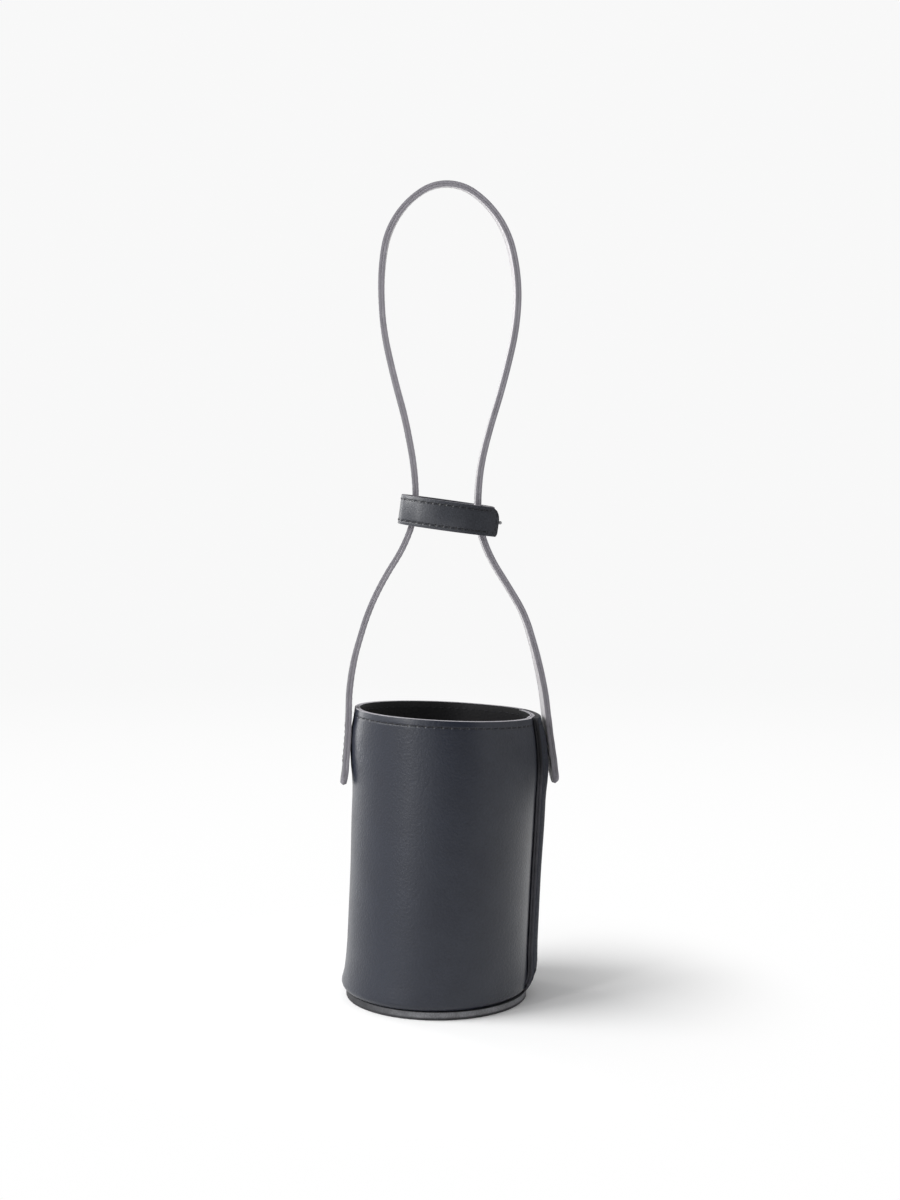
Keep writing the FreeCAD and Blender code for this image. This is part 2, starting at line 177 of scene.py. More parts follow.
TUCK_ARC, HUG_ARC = (-29, -23, -17, -8), (26, 62)       # degrees about the cup's axis

# Heights between which a change begins and is whole, and then is whole and has ended
DRAWN_ZONE = mm(128, 152, 158, 178)
SEWN_ZONE = mm(102, 120, 120, 146)
CLOSE_ZONE = mm(117, 127, 132, 142)
WAIST_ZONE = mm(10, 30, 60, 95)
LOOP_ZONE = mm(265, 305, 350, 390)
MOUTH_ZONE, TILT_ZONE, TUCK_ZONE = mm(134, 146), mm(20, 140), mm(8, 20)
CROWN_ZONE, TURN_ZONE = mm(365, 405), mm(147, 195)
PUSH_ZONE, HUG_ZONE = mm(5, 16), mm(5, 15)              # these are whole below
print(f"the cup leans by {math.degrees(math.atan(LEAN)):.1f} degrees")


# %% The rule of settling
def ramp(value, low, high):
    """Smooth step from 0 to 1 between two limits."""
    t = min(max((value - low) / (high - low), 0), 1)
    return t * t * (3 - 2 * t)


def hump(value, low, top_low, top_high, high):
    """Smooth rise to 1 between two limits, and smooth fall between two others."""
    return ramp(value, low, top_low) * (1 - ramp(value, top_high, high))


def settled_strap(co):
    """How far a side of the strap moves away from the cup."""
    return STRAP_SWELL * hump(co.z, *SEWN_ZONE) - STRAP_CLOSE * hump(co.z, *CLOSE_ZONE)


def settled_cup(co):
    """How far a side of the cup moves out."""
    return (WALL_SWELL * hump(co.z, *SEWN_ZONE) - MOUTH_DRAWN_IN * ramp(co.z, *MOUTH_ZONE)
            - WAIST * hump(co.z, *WAIST_ZONE))


def tucked(co, under_lap):
    """Moves the wall and the edge of its lap in together, and the foot of the lap against the wall."""
    arm = Vector((co.x - CUP_MIDDLE, co.y, 0))
    around = math.degrees(math.atan2(arm.y, arm.x))
    depth = TUCK * hump(around, *TUCK_ARC) * ramp(co.z, *TUCK_ZONE)
    if arm.x > 0 and (arm.length > under_lap or around > HUG_ARC[0]):
        depth += LAP_HUG * (1 - ramp(around, *HUG_ARC)) * (1 - ramp(co.z, *HUG_ZONE))
    return co - arm.normalized() * depth


def settled(co, name):
    """Where a point of a piece of the drawing lies on the leather carrier."""
    lean = LEAN * (min(co.z, LEAN_TOP) - LEAN_FOOT) * (1 - ramp(co.z, LEAN_TOP, LEAN_OVER))
    out = -DRAWN_IN * hump(co.z, *DRAWN_ZONE)
    side = co.x / SIDE_REACH * math.exp(-(co.y / SIDE_DEPTH) ** 2)
    rise = (CROWN_ROLL * co.y - CROWN_TILT * co.x + CROWN_LIFT) * ramp(co.z, *CROWN_ZONE)
    if "strap" in name or "anchor" in name:
        out += settled_strap(co)
    elif "sole" in name:
        lean -= SOLE_PUSH
    else:
        out += settled_cup(co)
        lean -= FOOT_PUSH * (1 - ramp(co.z, *PUSH_ZONE))
        rise -= LEAN * (co.x - CUP_MIDDLE) * ramp(co.z, *TILT_ZONE)
        co = tucked(co, LINING_UNDER_LAP if "lining" in name else WALL_UNDER_LAP)
    sway = LOOP_SWAY * hump(co.z, *LOOP_ZONE)
    turn = Matrix.Rotation(math.radians(STRAP_TURN) * ramp(co.z, *TURN_ZONE), 3, "Z")
    return turn @ Vector((co.x + lean + side * out + sway, co.y, co.z + rise))


for part, height in zip(("foot", "waist", "rim"), mm(5, 45, 145.5)):
    print(f"the {part} moves by {settled(Vector((0, 0, height)), 'wall').x / MM:.2f} mm")

# %% [markdown]
# ## Flat paths made of arcs
# Leather that is bent but not creased follows smooth curves. A chain of arcs is close to that, and Spin
# turns a section exactly round an arc. A flat point is a complex number here, so that turning left is a
# multiplication by 1j. A piece of a path is (start, heading, length, bend), and bend is 1 / radius,
# positive to the left.

# %% Arcs, and pairs of arcs
STRAIGHT = 1e-6


def dot(a, b):
    return (a.conjugate() * b).real


def upward(lean):
    """Heading that leans to the left of straight up by an angle in degrees."""
    return 1j * cmath.exp(1j * math.radians(lean))


def round_centre(centre, radius, first, last):
    """Piece of a circle between two angles in degrees."""
    ray = cmath.exp(1j * math.radians(first))
    return (centre + radius * ray, 1j * ray, radius * math.radians(last - first), 1 / radius)


def arc_to(start, heading, end):
    """The arc, or straight run, that leaves a point along a heading and reaches another point."""
    chord = end - start
    turn = 2 * cmath.phase(chord / heading)
    if abs(turn) < STRAIGHT:
        return (start, heading, abs(chord), 0.0)
    length = abs(chord) * turn / 2 / math.sin(turn / 2)
    return (start, heading, length, turn / length)


def point_on(piece, distance):
    """Point and heading at a distance along one piece."""
    start, heading, _, bend = piece
    if not bend:
        return start + heading * distance, heading
    turn = cmath.exp(1j * bend * distance)
    return start + heading * (turn - 1) / (1j * bend), heading * turn


def arc_pair(start, heading, end, end_heading):
    """Two arcs that meet smoothly and keep the headings at both ends."""
    chord = end - start
    spread = 2 - 2 * dot(heading, end_heading)
    if spread < STRAIGHT:
        reach = abs(chord) ** 2 / (4 * dot(chord, end_heading))
    else:
        lean = dot(chord, heading + end_heading)
        reach = (math.sqrt(lean ** 2 + spread * abs(chord) ** 2) - lean) / spread
    joint = (start + end + reach * (heading - end_heading)) / 2
    first = arc_to(start, heading, joint)
    return [first, arc_to(joint, point_on(first, first[2])[1], end)]


def smooth_path(stations):
    """Path through stations of (point, heading)."""
    path = []
    for (start, heading), (end, end_heading) in zip(stations, stations[1:]):
        path += arc_pair(start, heading, end, end_heading)
    return path


# %% Places along a path, and beside it
def beside(path, left):
    """The same path, moved to its left."""
    return [(start + 1j * heading * left, heading, length * (1 - bend * left), bend / (1 - bend * left))
            for start, heading, length, bend in path]


def path_length(path):
    return sum(piece[2] for piece in path)


def walk(path, distance):
    """Point and heading at a distance along a path."""
    for piece in path[:-1]:
        if distance <= piece[2]:
            return point_on(piece, distance)
        distance -= piece[2]
    return point_on(path[-1], distance)


def nearest(path, spot):
    """Distance along a path, and the heading there, of its point nearest to a flat spot."""
    found, walked = [], 0.0
    for piece in path:
        start, heading, length, bend = piece
        if bend:
            whole_turn = 2 * math.pi / abs(bend)
            centre = start + 1j * heading / bend
            along = cmath.phase((spot - centre) / (start - centre)) / bend % whole_turn
            if along > length:
                along = length if along - length < whole_turn - along else 0.0
        else:
            along = min(max(dot(heading, spot - start), 0.0), length)
        point, way = point_on(piece, along)
        found.append((abs(spot - point), walked + along, way))
        walked += length
    return min(found, key=lambda row: row[0])[1:]


# %% [markdown]
# ## A sheet of leather
# A sheet starts as a small grid, as thick as the leather and as wide as the strip. Spin then carries it
# round each arc of a path, as a leather worker would bend the strip. Handle paths stand upright in the XZ
# plane, and cup and collar paths lie level. Each sheet gets a UV map in metres, along and across, so that a
# finish can follow it.

# %% Section and spin
SAME_SPOT = 0.001 * MM


def upright(flat, y=0.0):
    """A flat point in the handle's plane."""
    return Vector((flat.real, y, flat.imag))


def level(flat, z=0.0):
    """A flat point in a level plane."""
    return Vector((flat.real, flat.imag, z))


NORMALS = {upright: Vector((0, -1, 0)), level: Vector((0, 0, 1))}


def section(name, plane, point, heading, thickness, width, middle, cuts=1):
    """A grid across a path, with its middle at a point and at a distance out of the path's plane."""
    left = plane(1j * heading)
    out = plane(0j, 1.0)
    turn = Matrix((left, out, left.cross(out))).transposed()
    return fresh(name, bpy.ops.mesh.primitive_grid_add, (thickness, width, 1), x_subdivisions=1,
                 y_subdivisions=cuts, size=1, location=plane(point, middle), rotation=turn.to_euler())


def spin_along(obj, plane, path, step):
    """Carries the faces of a section along a path, and leaves a closed sheet."""
    edit_all(obj)
    for start, heading, length, bend in path:
        steps = max(1, round(length / step))
        if bend:
            bpy.ops.mesh.spin(steps=steps, angle=-bend * length, axis=NORMALS[plane],
                              center=plane(start + 1j * heading / bend))
        else:
            for _ in range(steps):
                bpy.ops.mesh.extrude_region_move(
                    TRANSFORM_OT_translate={"value": plane(heading * length / steps)})
    bpy.ops.mesh.select_all(action="SELECT")
    bpy.ops.mesh.remove_doubles(threshold=SAME_SPOT)
    leave_edit()
    face_outwards(obj)


# %% Cut edges and UV map
WIDE_FACE = 0.7             # a wide face of a sheet points across its path by more than this


def flat_point(plane):
    """What turns a point in space into a flat point of a plane."""
    if plane is upright:
        return lambda co: complex(co.x, co.z)
    return lambda co: complex(co.x, co.y)


def mark_cut_edges(obj, plane, path):
    """Gives the second material to the faces that aren't one of the two wide faces of a sheet."""
    flat_of = flat_point(plane)
    for face in obj.data.polygons:
        _, heading = nearest(path, flat_of(face.center))
        face.material_index = 0 if abs(face.normal.dot(plane(1j * heading))) > WIDE_FACE else 1


def write_run(obj, plane, path, across):
    """UV map of a sheet: metres along its path, and metres across it."""
    flat_of = flat_point(plane)
    spots = [(nearest(path, flat_of(vertex.co))[0], across(vertex.co)) for vertex in obj.data.vertices]
    layer = obj.data.uv_layers.new(name="run")
    for loop in obj.data.loops:
        layer.data[loop.index].uv = spots[loop.vertex_index]


# %% [markdown]
# ## The cup's wall
# The wall is one sheet that goes right round the cup and laps over its own end at the right side. Its foot
# is turned in and sewn to the sole. The section is drawn first: a tall grid, whose lowest edge is spun
# through the fold and pushed in for the flange. Under the lap the foot is only curled, so the lap is spun
# from a section of its own, and Bridge joins the two sheets where the lap begins.

# %% Sizes of the cup
WALL_LEATHER, LINING_LEATHER, GLUE_GAP = mm(1.5, 1.2, 0.05)
LAP_EDGE, LAP_END, LAP_EASE = -23.0, 26.0, 40.0         # degrees about the cup's axis
LAP_END_ROOM, LAP_BRIDGE = mm(2.0, 2.0)
FOOT_FOLD, FOOT_RADIUS, FOOT_FLANGE = 90.0, *mm(4.0, 6.0)
LAP_CURL, LAP_FOOT_EDGE = 50.0, 0.5 * MM
FOOT_STEPS, WALL_ROWS = 6, 28
WALL_STEP = 1.6 * MM
EDGE_ROUND = 0.25 * MM

wall_low, wall_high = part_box("cup_wall")
cup_radius = (wall_high.y - wall_low.y) / 2
cup_centre = complex(wall_low.x + cup_radius, 0.0)
lap_step = wall_high.x - cup_centre.real - cup_radius
rim, wall_start = wall_high.z, wall_low.z + FOOT_RADIUS
print(f"cup radius {cup_radius / MM:.2f} mm, lap step {lap_step / MM:.2f} mm, rim at {rim / MM:.1f} mm")


# %% Path and section of the wall
def cup_angle(radius, angle):
    """Point and heading on a circle round the cup's axis."""
    ray = cmath.exp(1j * math.radians(angle))
    return cup_centre + radius * ray, 1j * ray


lap_path = [round_centre(cup_centre, cup_radius + lap_step, LAP_EDGE, LAP_END)]
inside_end = 360 + LAP_END - math.degrees(LAP_END_ROOM / cup_radius)
eased = LAP_END + LAP_EASE
ease_path = arc_pair(*cup_angle(cup_radius + lap_step, LAP_END), *cup_angle(cup_radius, eased))
round_path = ease_path + [round_centre(cup_centre, cup_radius, eased, inside_end)]
wall_path = lap_path + round_path


def wall_section(name, start, heading, curl, flange):
    """Section of the wall at a point of its path, with its foot turned in by an angle in degrees."""
    left = 1j * heading
    obj = section(name, level, start + left * WALL_LEATHER / 2, heading, WALL_LEATHER, rim - wall_start,
                  (rim + wall_start) / 2, WALL_ROWS)
    edit_all(obj, "EDGE")
    bpy.ops.mesh.select_all(action="DESELECT")
    leave_edit()
    for edge in obj.data.edges:
        edge.select = all(abs(obj.data.vertices[i].co.z - wall_start) < SAME_SPOT for i in edge.vertices)
    bpy.ops.object.mode_set(mode="EDIT")
    bpy.ops.mesh.spin(steps=FOOT_STEPS, angle=-math.radians(curl), axis=level(heading),
                      center=level(start + left * FOOT_RADIUS, wall_start))
    inward, down = math.sin(math.radians(curl)), math.cos(math.radians(curl))
    bpy.ops.mesh.extrude_region_move(
        TRANSFORM_OT_translate={"value": level(left * inward * flange, -down * flange)})
    leave_edit()
    return obj


lap_sheet = wall_section("lap_sheet", lap_path[0][0], lap_path[0][1], LAP_CURL, LAP_FOOT_EDGE)
short_lap = [(*lap_path[0][:2], lap_path[0][2] - LAP_BRIDGE, lap_path[0][3])]
spin_along(lap_sheet, level, short_lap, WALL_STEP)
wall = wall_section("wall_sheet", round_path[0][0], round_path[0][1], FOOT_FOLD, FOOT_FLANGE)
spin_along(wall, level, round_path, WALL_STEP)
print("lap", len(lap_sheet.data.polygons), "faces, round wall", len(wall.data.polygons), "faces")

# %% Bridge the lap to the rest of the wall
CAP_DEPTH, CAP_SQUARE = 0.01 * MM, 0.99
lap_stop, wall_begin = walk(short_lap, path_length(short_lap)), round_path[0][:2]
only(wall, lap_sheet)
bpy.ops.object.join()


def is_end_cap(face):
    """True for the two caps that face each other where the lap begins."""
    for point, heading in (lap_stop, wall_begin):
        away = face.center - level(point, face.center.z)
        square = abs(face.normal.dot(level(heading))) > CAP_SQUARE
        if square and abs(away.dot(level(heading))) < CAP_DEPTH and away.length < FOOT_RADIUS + FOOT_FLANGE:
            return True
    return False


edit_faces(wall, is_end_cap)
bpy.ops.mesh.delete(type="FACE")
bpy.ops.mesh.select_mode(type="EDGE")
bpy.ops.mesh.select_non_manifold(extend=False)
bpy.ops.mesh.bridge_edge_loops()
leave_edit()
face_outwards(wall)
print("bridged wall:", len(wall.data.polygons), "faces")

# %% Cut edges of the wall
UPRIGHT = 0.5               # an upright face has a normal that rises or falls by less than this


def paint_shade_on_lap_edges(obj, path):
    """Gives the upright cut edges and the top of the lap the third material, with painted shade."""
    lap_length = path_length(lap_path)
    for face in obj.data.polygons:
        along, _ = nearest(path, complex(face.center.x, face.center.y))
        if abs(face.normal.z) < UPRIGHT or along < lap_length:
            face.material_index *= 2


mark_cut_edges(wall, level, wall_path)
paint_shade_on_lap_edges(wall, wall_path)
for face in wall.data.polygons:
    if abs(face.normal.z) > UPRIGHT and face.center.z < wall_start:
        face.material_index = 0
round_edges(wall, EDGE_ROUND, sharper_than=50)
write_run(wall, level, wall_path, lambda co: rim - co.z)
stands_for(wall, "carrier", "cup_leather", "cup_wall")

# %% [markdown]
# ## The lining, the insole and the sole
# The lining is glued inside the wall and follows the same path, one leather further in, so it is spun in
# one go. The insole and the sole are discs. The sole's underside is inset twice and the ring between is
# pushed in, which makes the channel that keeps its stitches off the floor.

# %% Lining
lining_depth = WALL_LEATHER + GLUE_GAP + LINING_LEATHER / 2
lining_path = beside(wall_path, lining_depth)
lining = section("lining_sheet", level, *lining_path[0][:2], LINING_LEATHER, rim - wall_start,
                 (rim + wall_start) / 2, WALL_ROWS)
spin_along(lining, level, lining_path, WALL_STEP)
mark_cut_edges(lining, level, lining_path)
paint_shade_on_lap_edges(lining, lining_path)
round_edges(lining, EDGE_ROUND)
write_run(lining, level, lining_path, lambda co: rim - co.z)
stands_for(lining, "carrier", "lining_leather", "wall_lining")

# %% Insole
DISC_SIDES = 160


def disc(name, node):
    """A cylinder as large as the box of a CAD disc."""
    low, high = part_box(node)
    return fresh(name, bpy.ops.mesh.primitive_cylinder_add, vertices=DISC_SIDES, radius=(high.y - low.y) / 2,
                 depth=high.z - low.z, location=(low + high) / 2)


insole = disc("insole_disc", "insole")
round_edges(insole, 2 * EDGE_ROUND)
stands_for(insole, "carrier", "lining_leather", "insole")

# %% Sole with its stitch channel
CHANNEL_WIDTH, CHANNEL_DEPTH = mm(2.0, 1.2)
SOLE_BEVEL = 0.5 * MM
DOWN = -0.9                 # a face of the underside has a normal that falls by more than this

sole = disc("sole_disc", "sole")
sole_radius = (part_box("sole")[1].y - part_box("sole")[0].y) / 2
seam_radius = cup_radius - FOOT_RADIUS - FOOT_FLANGE / 2
ring_in, ring_out = seam_radius - CHANNEL_WIDTH / 2, seam_radius + CHANNEL_WIDTH / 2


def from_axis(face):
    """Distance of a face from the cup's axis."""
    return abs(complex(*face.center.xy) - cup_centre)


edit_faces(sole, lambda face: face.normal.z < DOWN)
bpy.ops.mesh.inset(thickness=sole_radius - ring_out)
bpy.ops.mesh.inset(thickness=CHANNEL_WIDTH)
leave_edit()
edit_faces(sole, lambda face: face.normal.z < DOWN and ring_in < from_axis(face) < ring_out)
bpy.ops.mesh.extrude_region_move(TRANSFORM_OT_translate={"value": (0, 0, CHANNEL_DEPTH)})
leave_edit()
face_outwards(sole)
for face in sole.data.polygons:
    face.material_index = 1 if abs(face.normal.z) < UPRIGHT and from_axis(face) > ring_out else 0
round_edges(sole, SOLE_BEVEL)
stands_for(sole, "carrier", "sole_leather", "sole")

# %% [markdown]
# ## The strap
# One strap, two leathers thick, runs from the right tip over the crown to the left tip. Its middle passes
# through a few stations, each with a place and a lean, and pairs of arcs join them. Both layers are spun
# along it, and the loose tips are rounded with Bisect, one flat cut for each facet of the half circle.
# Round a tip the outer face is drawn in a little, because the ends of a strap are pared thin.

# %% Stations of the strap
STRAP_LEATHER, STRAP_WIDTH = mm(1.5, 15.0)
STRAP_STEP = 2.0 * MM
COLLAR_TILT = 7.5           # degrees
CROWN = 411.7 * MM
LEG_STATIONS = {            # mm from the middle, mm above the floor, degrees of lean towards the middle
    "tip": (54.15, 107.65, 15.0),
    "sewn field": (51.445, 120.0, 0.0),
    "rim": (51.445, 145.5, 0.0),
    "shoulder": (42.5, 187.0, 16.6),
    "throat": (26.4, 219.3, 32.6),
    "neck": (15.825, 252.0, 0.0),
    "flare": (24.2, 301.0, -16.2),
    "loop": (34.5, 357.6, 0.0),
    "crown start": (23.6, 398.0, 38.0),
}
strap_thickness = 2 * STRAP_LEATHER + GLUE_GAP


def leg_stations(side):
    """Stations of the right leg (1) or the left leg (-1), upwards. The tilted collar shifts two of them."""
    droop = LEG_STATIONS["neck"][0] * math.tan(math.radians(COLLAR_TILT))
    stations = []
    for name, (x, z, lean) in LEG_STATIONS.items():
        shift = -side * droop if name in ("throat", "neck") else 0.0
        stations.append((complex(side * x, z + shift) * MM, upward(side * lean)))
    return stations


down_left = [(point, -heading) for point, heading in reversed(leg_stations(-1))]
strap_path = smooth_path(leg_stations(1) + [(complex(0, CROWN), -1 + 0j)] + down_left)
print(f"strap length {path_length(strap_path) / MM:.0f} mm in {len(strap_path)} arcs")


# %% Rounded and pared tips
TIP_CUTS = 15
TIP_PARED = 1.0 * MM
TIP_EDGE = 0.95, 1.1        # a vertex between these shares of the radius is on the edge of a tip


def round_off(obj, centre, towards, across, radius, first, cuts, wanted=lambda face: True):
    """Cuts the wanted faces along an arc that ends at a right angle, with one flat cut for each facet."""
    for i in range(cuts):
        angle = math.radians(first + (90 - first) * (i + 0.5) / cuts)
        normal = towards * math.cos(angle) + across * math.sin(angle)
        edit_faces(obj, wanted)
        bpy.ops.mesh.bisect(plane_co=centre + normal * radius, plane_no=normal, use_fill=True,
                            clear_outer=True)
        leave_edit()


def pare_tip(obj, path, left, centre, towards, radius):
    """Draws the outer face of a layer in round one tip."""
    nearer, further = (share * radius for share in TIP_EDGE)
    for vertex in obj.data.vertices:
        reach, side = (vertex.co - centre).dot(towards), vertex.co.y
        far = math.hypot(reach, side)
        if reach > 0 and nearer < far < further:
            spot = complex(vertex.co.x, vertex.co.z)
            along, heading = nearest(path, spot)
            if dot(1j * heading, spot - walk(path, along)[0]) * left > 0:
                vertex.co -= (towards * reach + Vector((0, side, 0))) * TIP_PARED * reach / radius / far


# %% Two layers of the strap
def strap_layer(name, left):
    """One leather of the strap, with its middle at a distance to the left of the strap's middle."""
    path = beside(strap_path, left)
    obj = section(name, upright, *path[0][:2], STRAP_LEATHER, STRAP_WIDTH, 0.0)
    spin_along(obj, upright, path, STRAP_STEP)
    radius = STRAP_WIDTH / 2
    for distance, sign in ((0.0, -1), (path_length(strap_path), 1)):
        point, heading = walk(strap_path, distance)
        centre, towards = upright(point - sign * heading * radius), upright(sign * heading)
        round_off(obj, centre, towards, Vector((0, 1, 0)), radius, -90, TIP_CUTS)
        pare_tip(obj, path, left, centre, towards, radius)
    face_outwards(obj)
    mark_cut_edges(obj, upright, path)
    round_edges(obj, EDGE_ROUND)
    write_run(obj, upright, path, lambda co: co.y)
    return obj, path


layer_shift = (STRAP_LEATHER + GLUE_GAP) / 2
strap_outer, outer_path = strap_layer("strap_outside", -layer_shift)
strap_inner, inner_path = strap_layer("strap_inside", layer_shift)
stands_for(strap_outer, "carrier", "strap_leather", "handle_outer")
stands_for(strap_inner, "carrier", "strap_lining", "handle_lining")

# %% [markdown]
# ## The collar
# The collar is a narrow strip, also two leathers thick, sewn into an oval ring round both legs. Its free
# end springs off at the right, with its upper corner cut round. It is made level, on the sizes of the CAD
# solid turned level, and then tilted. Many short arcs follow the oval, because a few long ones would show
# as bands in the gloss.

# %% Sizes and path of the collar
COLLAR_LEATHER, COLLAR_LAP_GAP, COLLAR_WIDTH = mm(1.1, 0.1, 14.7)
COLLAR_HEIGHT, COLLAR_LIFT = mm(244.5, 1.0)
COLLAR_PITCH = 3.5                              # degrees
COLLAR_FLAT, COLLAR_INSIDE_END = mm(12.0, -5.5)
COLLAR_TURNS = 0, 20, 50, 90, 130, 160, 180, 181, 200, 225, 250, 270, 290, 312  # degrees round the oval
COLLAR_END = complex(25.0, -6.6) * MM           # where the free end gets to after the last of them
COLLAR_CORNERS = {1: 7.0 * MM, -1: 2.0 * MM}    # radius of the upper and the lower corner of the free end
COLLAR_STEP = 0.75 * MM
collar_thickness = 2 * COLLAR_LEATHER + GLUE_GAP
drawn_place = Matrix.Translation((0, 0, COLLAR_HEIGHT)) @ Matrix.Rotation(math.radians(COLLAR_TILT), 4, "Y")
drawn_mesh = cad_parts["collar_outer"].data
turned_level = [drawn_place.inverted() @ vertex.co for vertex in drawn_mesh.vertices]
collar_right = max(co.x for co in turned_level) - 2 * collar_thickness - COLLAR_LAP_GAP
collar_left = -min(co.x for co in turned_level) - collar_thickness
collar_half = max(co.y for co in turned_level) - collar_thickness
flat = COLLAR_FLAT / 2


def on_oval(degrees):
    """Station on the collar's oval, which has a flat at each side."""
    turn = math.radians(degrees)
    reach = collar_right if math.cos(turn) > 0 else collar_left
    bulge = collar_half - flat
    middle = flat if degrees <= 180 else -flat
    heading = complex(-reach * math.sin(turn), bulge * math.cos(turn))
    return complex(reach * math.cos(turn), middle + bulge * math.sin(turn)), heading / abs(heading)


ring = [on_oval(degrees) for degrees in COLLAR_TURNS]
collar_path = smooth_path([(complex(collar_right, COLLAR_INSIDE_END), 1j)] + ring)
collar_path.append(arc_to(*ring[-1], COLLAR_END))
collar_place = (Matrix.Translation((0, 0, COLLAR_HEIGHT + COLLAR_LIFT))
                @ Matrix.Rotation(math.radians(STRAP_TURN), 4, "Z")
                @ Matrix.Rotation(math.radians(COLLAR_TILT), 4, "Y")
                @ Matrix.Rotation(math.radians(COLLAR_PITCH), 4, "X"))
print(f"collar inside {(collar_left + collar_right) / MM:.1f} by {2 * collar_half / MM:.1f} mm")


# %% Two layers of the collar
CORNER_CUTS = 8
END_DEPTH, END_LENGTH = mm(2, 10)


def is_tip(face, tip, outward):
    """True for the faces near the free end that lie outside the layer under it."""
    away = complex(face.center.x, face.center.y) - tip
    return abs(dot(-1j * outward, away)) < END_DEPTH and abs(dot(outward, away)) < END_LENGTH


def collar_layer(name, left):
    """One leather of the collar, with its middle at a distance to the left of the collar's inside."""
    path = beside(collar_path, left)
    obj = section(name, level, *path[0][:2], COLLAR_LEATHER, COLLAR_WIDTH, 0.0)
    spin_along(obj, level, path, COLLAR_STEP)
    tip, outward = walk(path, path_length(path))
    for side, radius in COLLAR_CORNERS.items():
        corner = level(tip - outward * radius, side * (COLLAR_WIDTH / 2 - radius))
        round_off(obj, corner, level(outward), Vector((0, 0, side)), radius, 0, CORNER_CUTS,
                  lambda face: is_tip(face, tip, outward))
    face_outwards(obj)
    mark_cut_edges(obj, level, path)
    round_edges(obj, EDGE_ROUND)
    write_run(obj, level, path, lambda co: co.z)
    obj.data.transform(collar_place)
    return obj, path


collar_outer, collar_outer_path = collar_layer("collar_outside", -collar_thickness + COLLAR_LEATHER / 2)
collar_inner, _ = collar_layer("collar_inside", -COLLAR_LEATHER / 2)
stands_for(collar_outer, "collar", "strap_leather", "collar_outer")
stands_for(collar_inner, "collar", "strap_leather", "collar_lining")

# %% [markdown]
# ## One stitch, and all the rows
# A stitch of waxed thread is a short rounded bar that dives into the leather at both ends. It is modelled
# once, as a six-sided cylinder with a few cuts, and copied to each place on the rows. The copies of a row
# are joined, so that a row is one piece with a mesh of its own.

# %% The stitch
THREAD, THREAD_PROUD = mm(0.6, 0.22)
STITCH_SIDES, STITCH_CUTS = 6, 4
STITCH_THINS, STITCH_DIVES = 0.75, 0.9

stitch = fresh("stitch", bpy.ops.mesh.primitive_cylinder_add, vertices=STITCH_SIDES, radius=0.5, depth=1,
               rotation=(0, math.pi / 2, 0))
for i in range(1, STITCH_CUTS + 1):
    edit_all(stitch)
    bpy.ops.mesh.bisect(plane_co=(i / (STITCH_CUTS + 1) - 0.5, 0, 0), plane_no=(1, 0, 0))
    leave_edit()
for vertex in stitch.data.vertices:
    end = abs(2 * vertex.co.x) ** 4
    slim = math.sqrt(max(1 - STITCH_THINS * end, 0))
    vertex.co.y *= slim
    vertex.co.z = vertex.co.z * slim - STITCH_DIVES * end
layer = stitch.data.uv_layers.new(name="run")
for loop in stitch.data.loops:
    co = stitch.data.vertices[loop.vertex_index].co
    layer.data[loop.index].uv = (co.x, math.atan2(co.z, co.y) / (2 * math.pi))
only(stitch)
bpy.ops.object.shade_smooth()
print("stitch:", len(stitch.data.polygons), "faces")

# %% Rows of stitches
STITCH_SHARE, THREAD_FLAT = 0.8, 0.8
STITCH_SLANT, SLANT_VARIES = 7.0, 2             # degrees
SHORTEST, LONGEST = 0.96, 1.04
chance = random.Random(7)


def stitch_spot(place, along, out, pitch, proud=THREAD_PROUD):
    """Matrix that lays a stitch at a place, along one direction and facing another."""
    slant = math.radians(STITCH_SLANT + chance.uniform(-SLANT_VARIES, SLANT_VARIES))
    along = Matrix.Rotation(slant, 3, out) @ along
    length = pitch * STITCH_SHARE * chance.uniform(SHORTEST, LONGEST)
    size = Matrix.Diagonal((length, THREAD, THREAD_FLAT * THREAD))
    turn = Matrix((along, out.cross(along), out)).transposed()
    return Matrix.Translation(place + out * (proud - THREAD_FLAT * THREAD / 2)) @ (turn @ size).to_4x4()


def sew(name, spots):
    """Copies the stitch to each spot and joins the copies."""
    copies = []
    for spot in spots:
        copy = bpy.data.objects.new(name, stitch.data.copy())
        copy.data.transform(spot)
        bpy.context.collection.objects.link(copy)
        copies.append(copy)
    only(*copies)
    bpy.ops.object.join()
    copies[0].name = name
    return copies[0]


def path_row(plane, path, out_by, out_sign, middle, pitch, first, last, proud=THREAD_PROUD):
    """Spots along a path, on a face at a distance to its left, between two distances along it."""
    spots = []
    for i in range(int((last - first) / pitch)):
        point, heading = walk(path, first + (i + 0.5) * pitch)
        place = plane(point + 1j * heading * out_by, middle)
        spots.append(stitch_spot(place, plane(heading), plane(1j * heading) * out_sign, pitch, proud))
    return spots


# %% Stitches of the cup
RIM_PITCH, RIM_MARGIN, LAP_MARGIN = mm(4.2, 3.4, 5.0)
UP = Vector((0, 0, 1))

shown_wall = path_length(lap_path + ease_path) + cup_radius * math.radians(360 + LAP_EDGE - eased)
rim_row = rim - RIM_MARGIN
spots = path_row(level, wall_path, 0.0, -1, rim_row, RIM_PITCH, 0.0, shown_wall)
spots += path_row(level, lining_path, LINING_LEATHER / 2, 1, rim_row, RIM_PITCH,
                  path_length(lap_path), path_length(lining_path))
stands_for(sew("rim_thread", spots), "carrier", "thread", "rim_stitching")

lap_point, lap_heading = walk(wall_path, LAP_MARGIN)
lap_rows = int((rim_row - RIM_PITCH / 2 - wall_start) / RIM_PITCH)
spots = [stitch_spot(level(lap_point, wall_start + (i + 0.5) * RIM_PITCH), UP, level(-1j * lap_heading),
                     RIM_PITCH) for i in range(lap_rows)]
stands_for(sew("lap_thread", spots), "carrier", "thread", "lap_stitching")

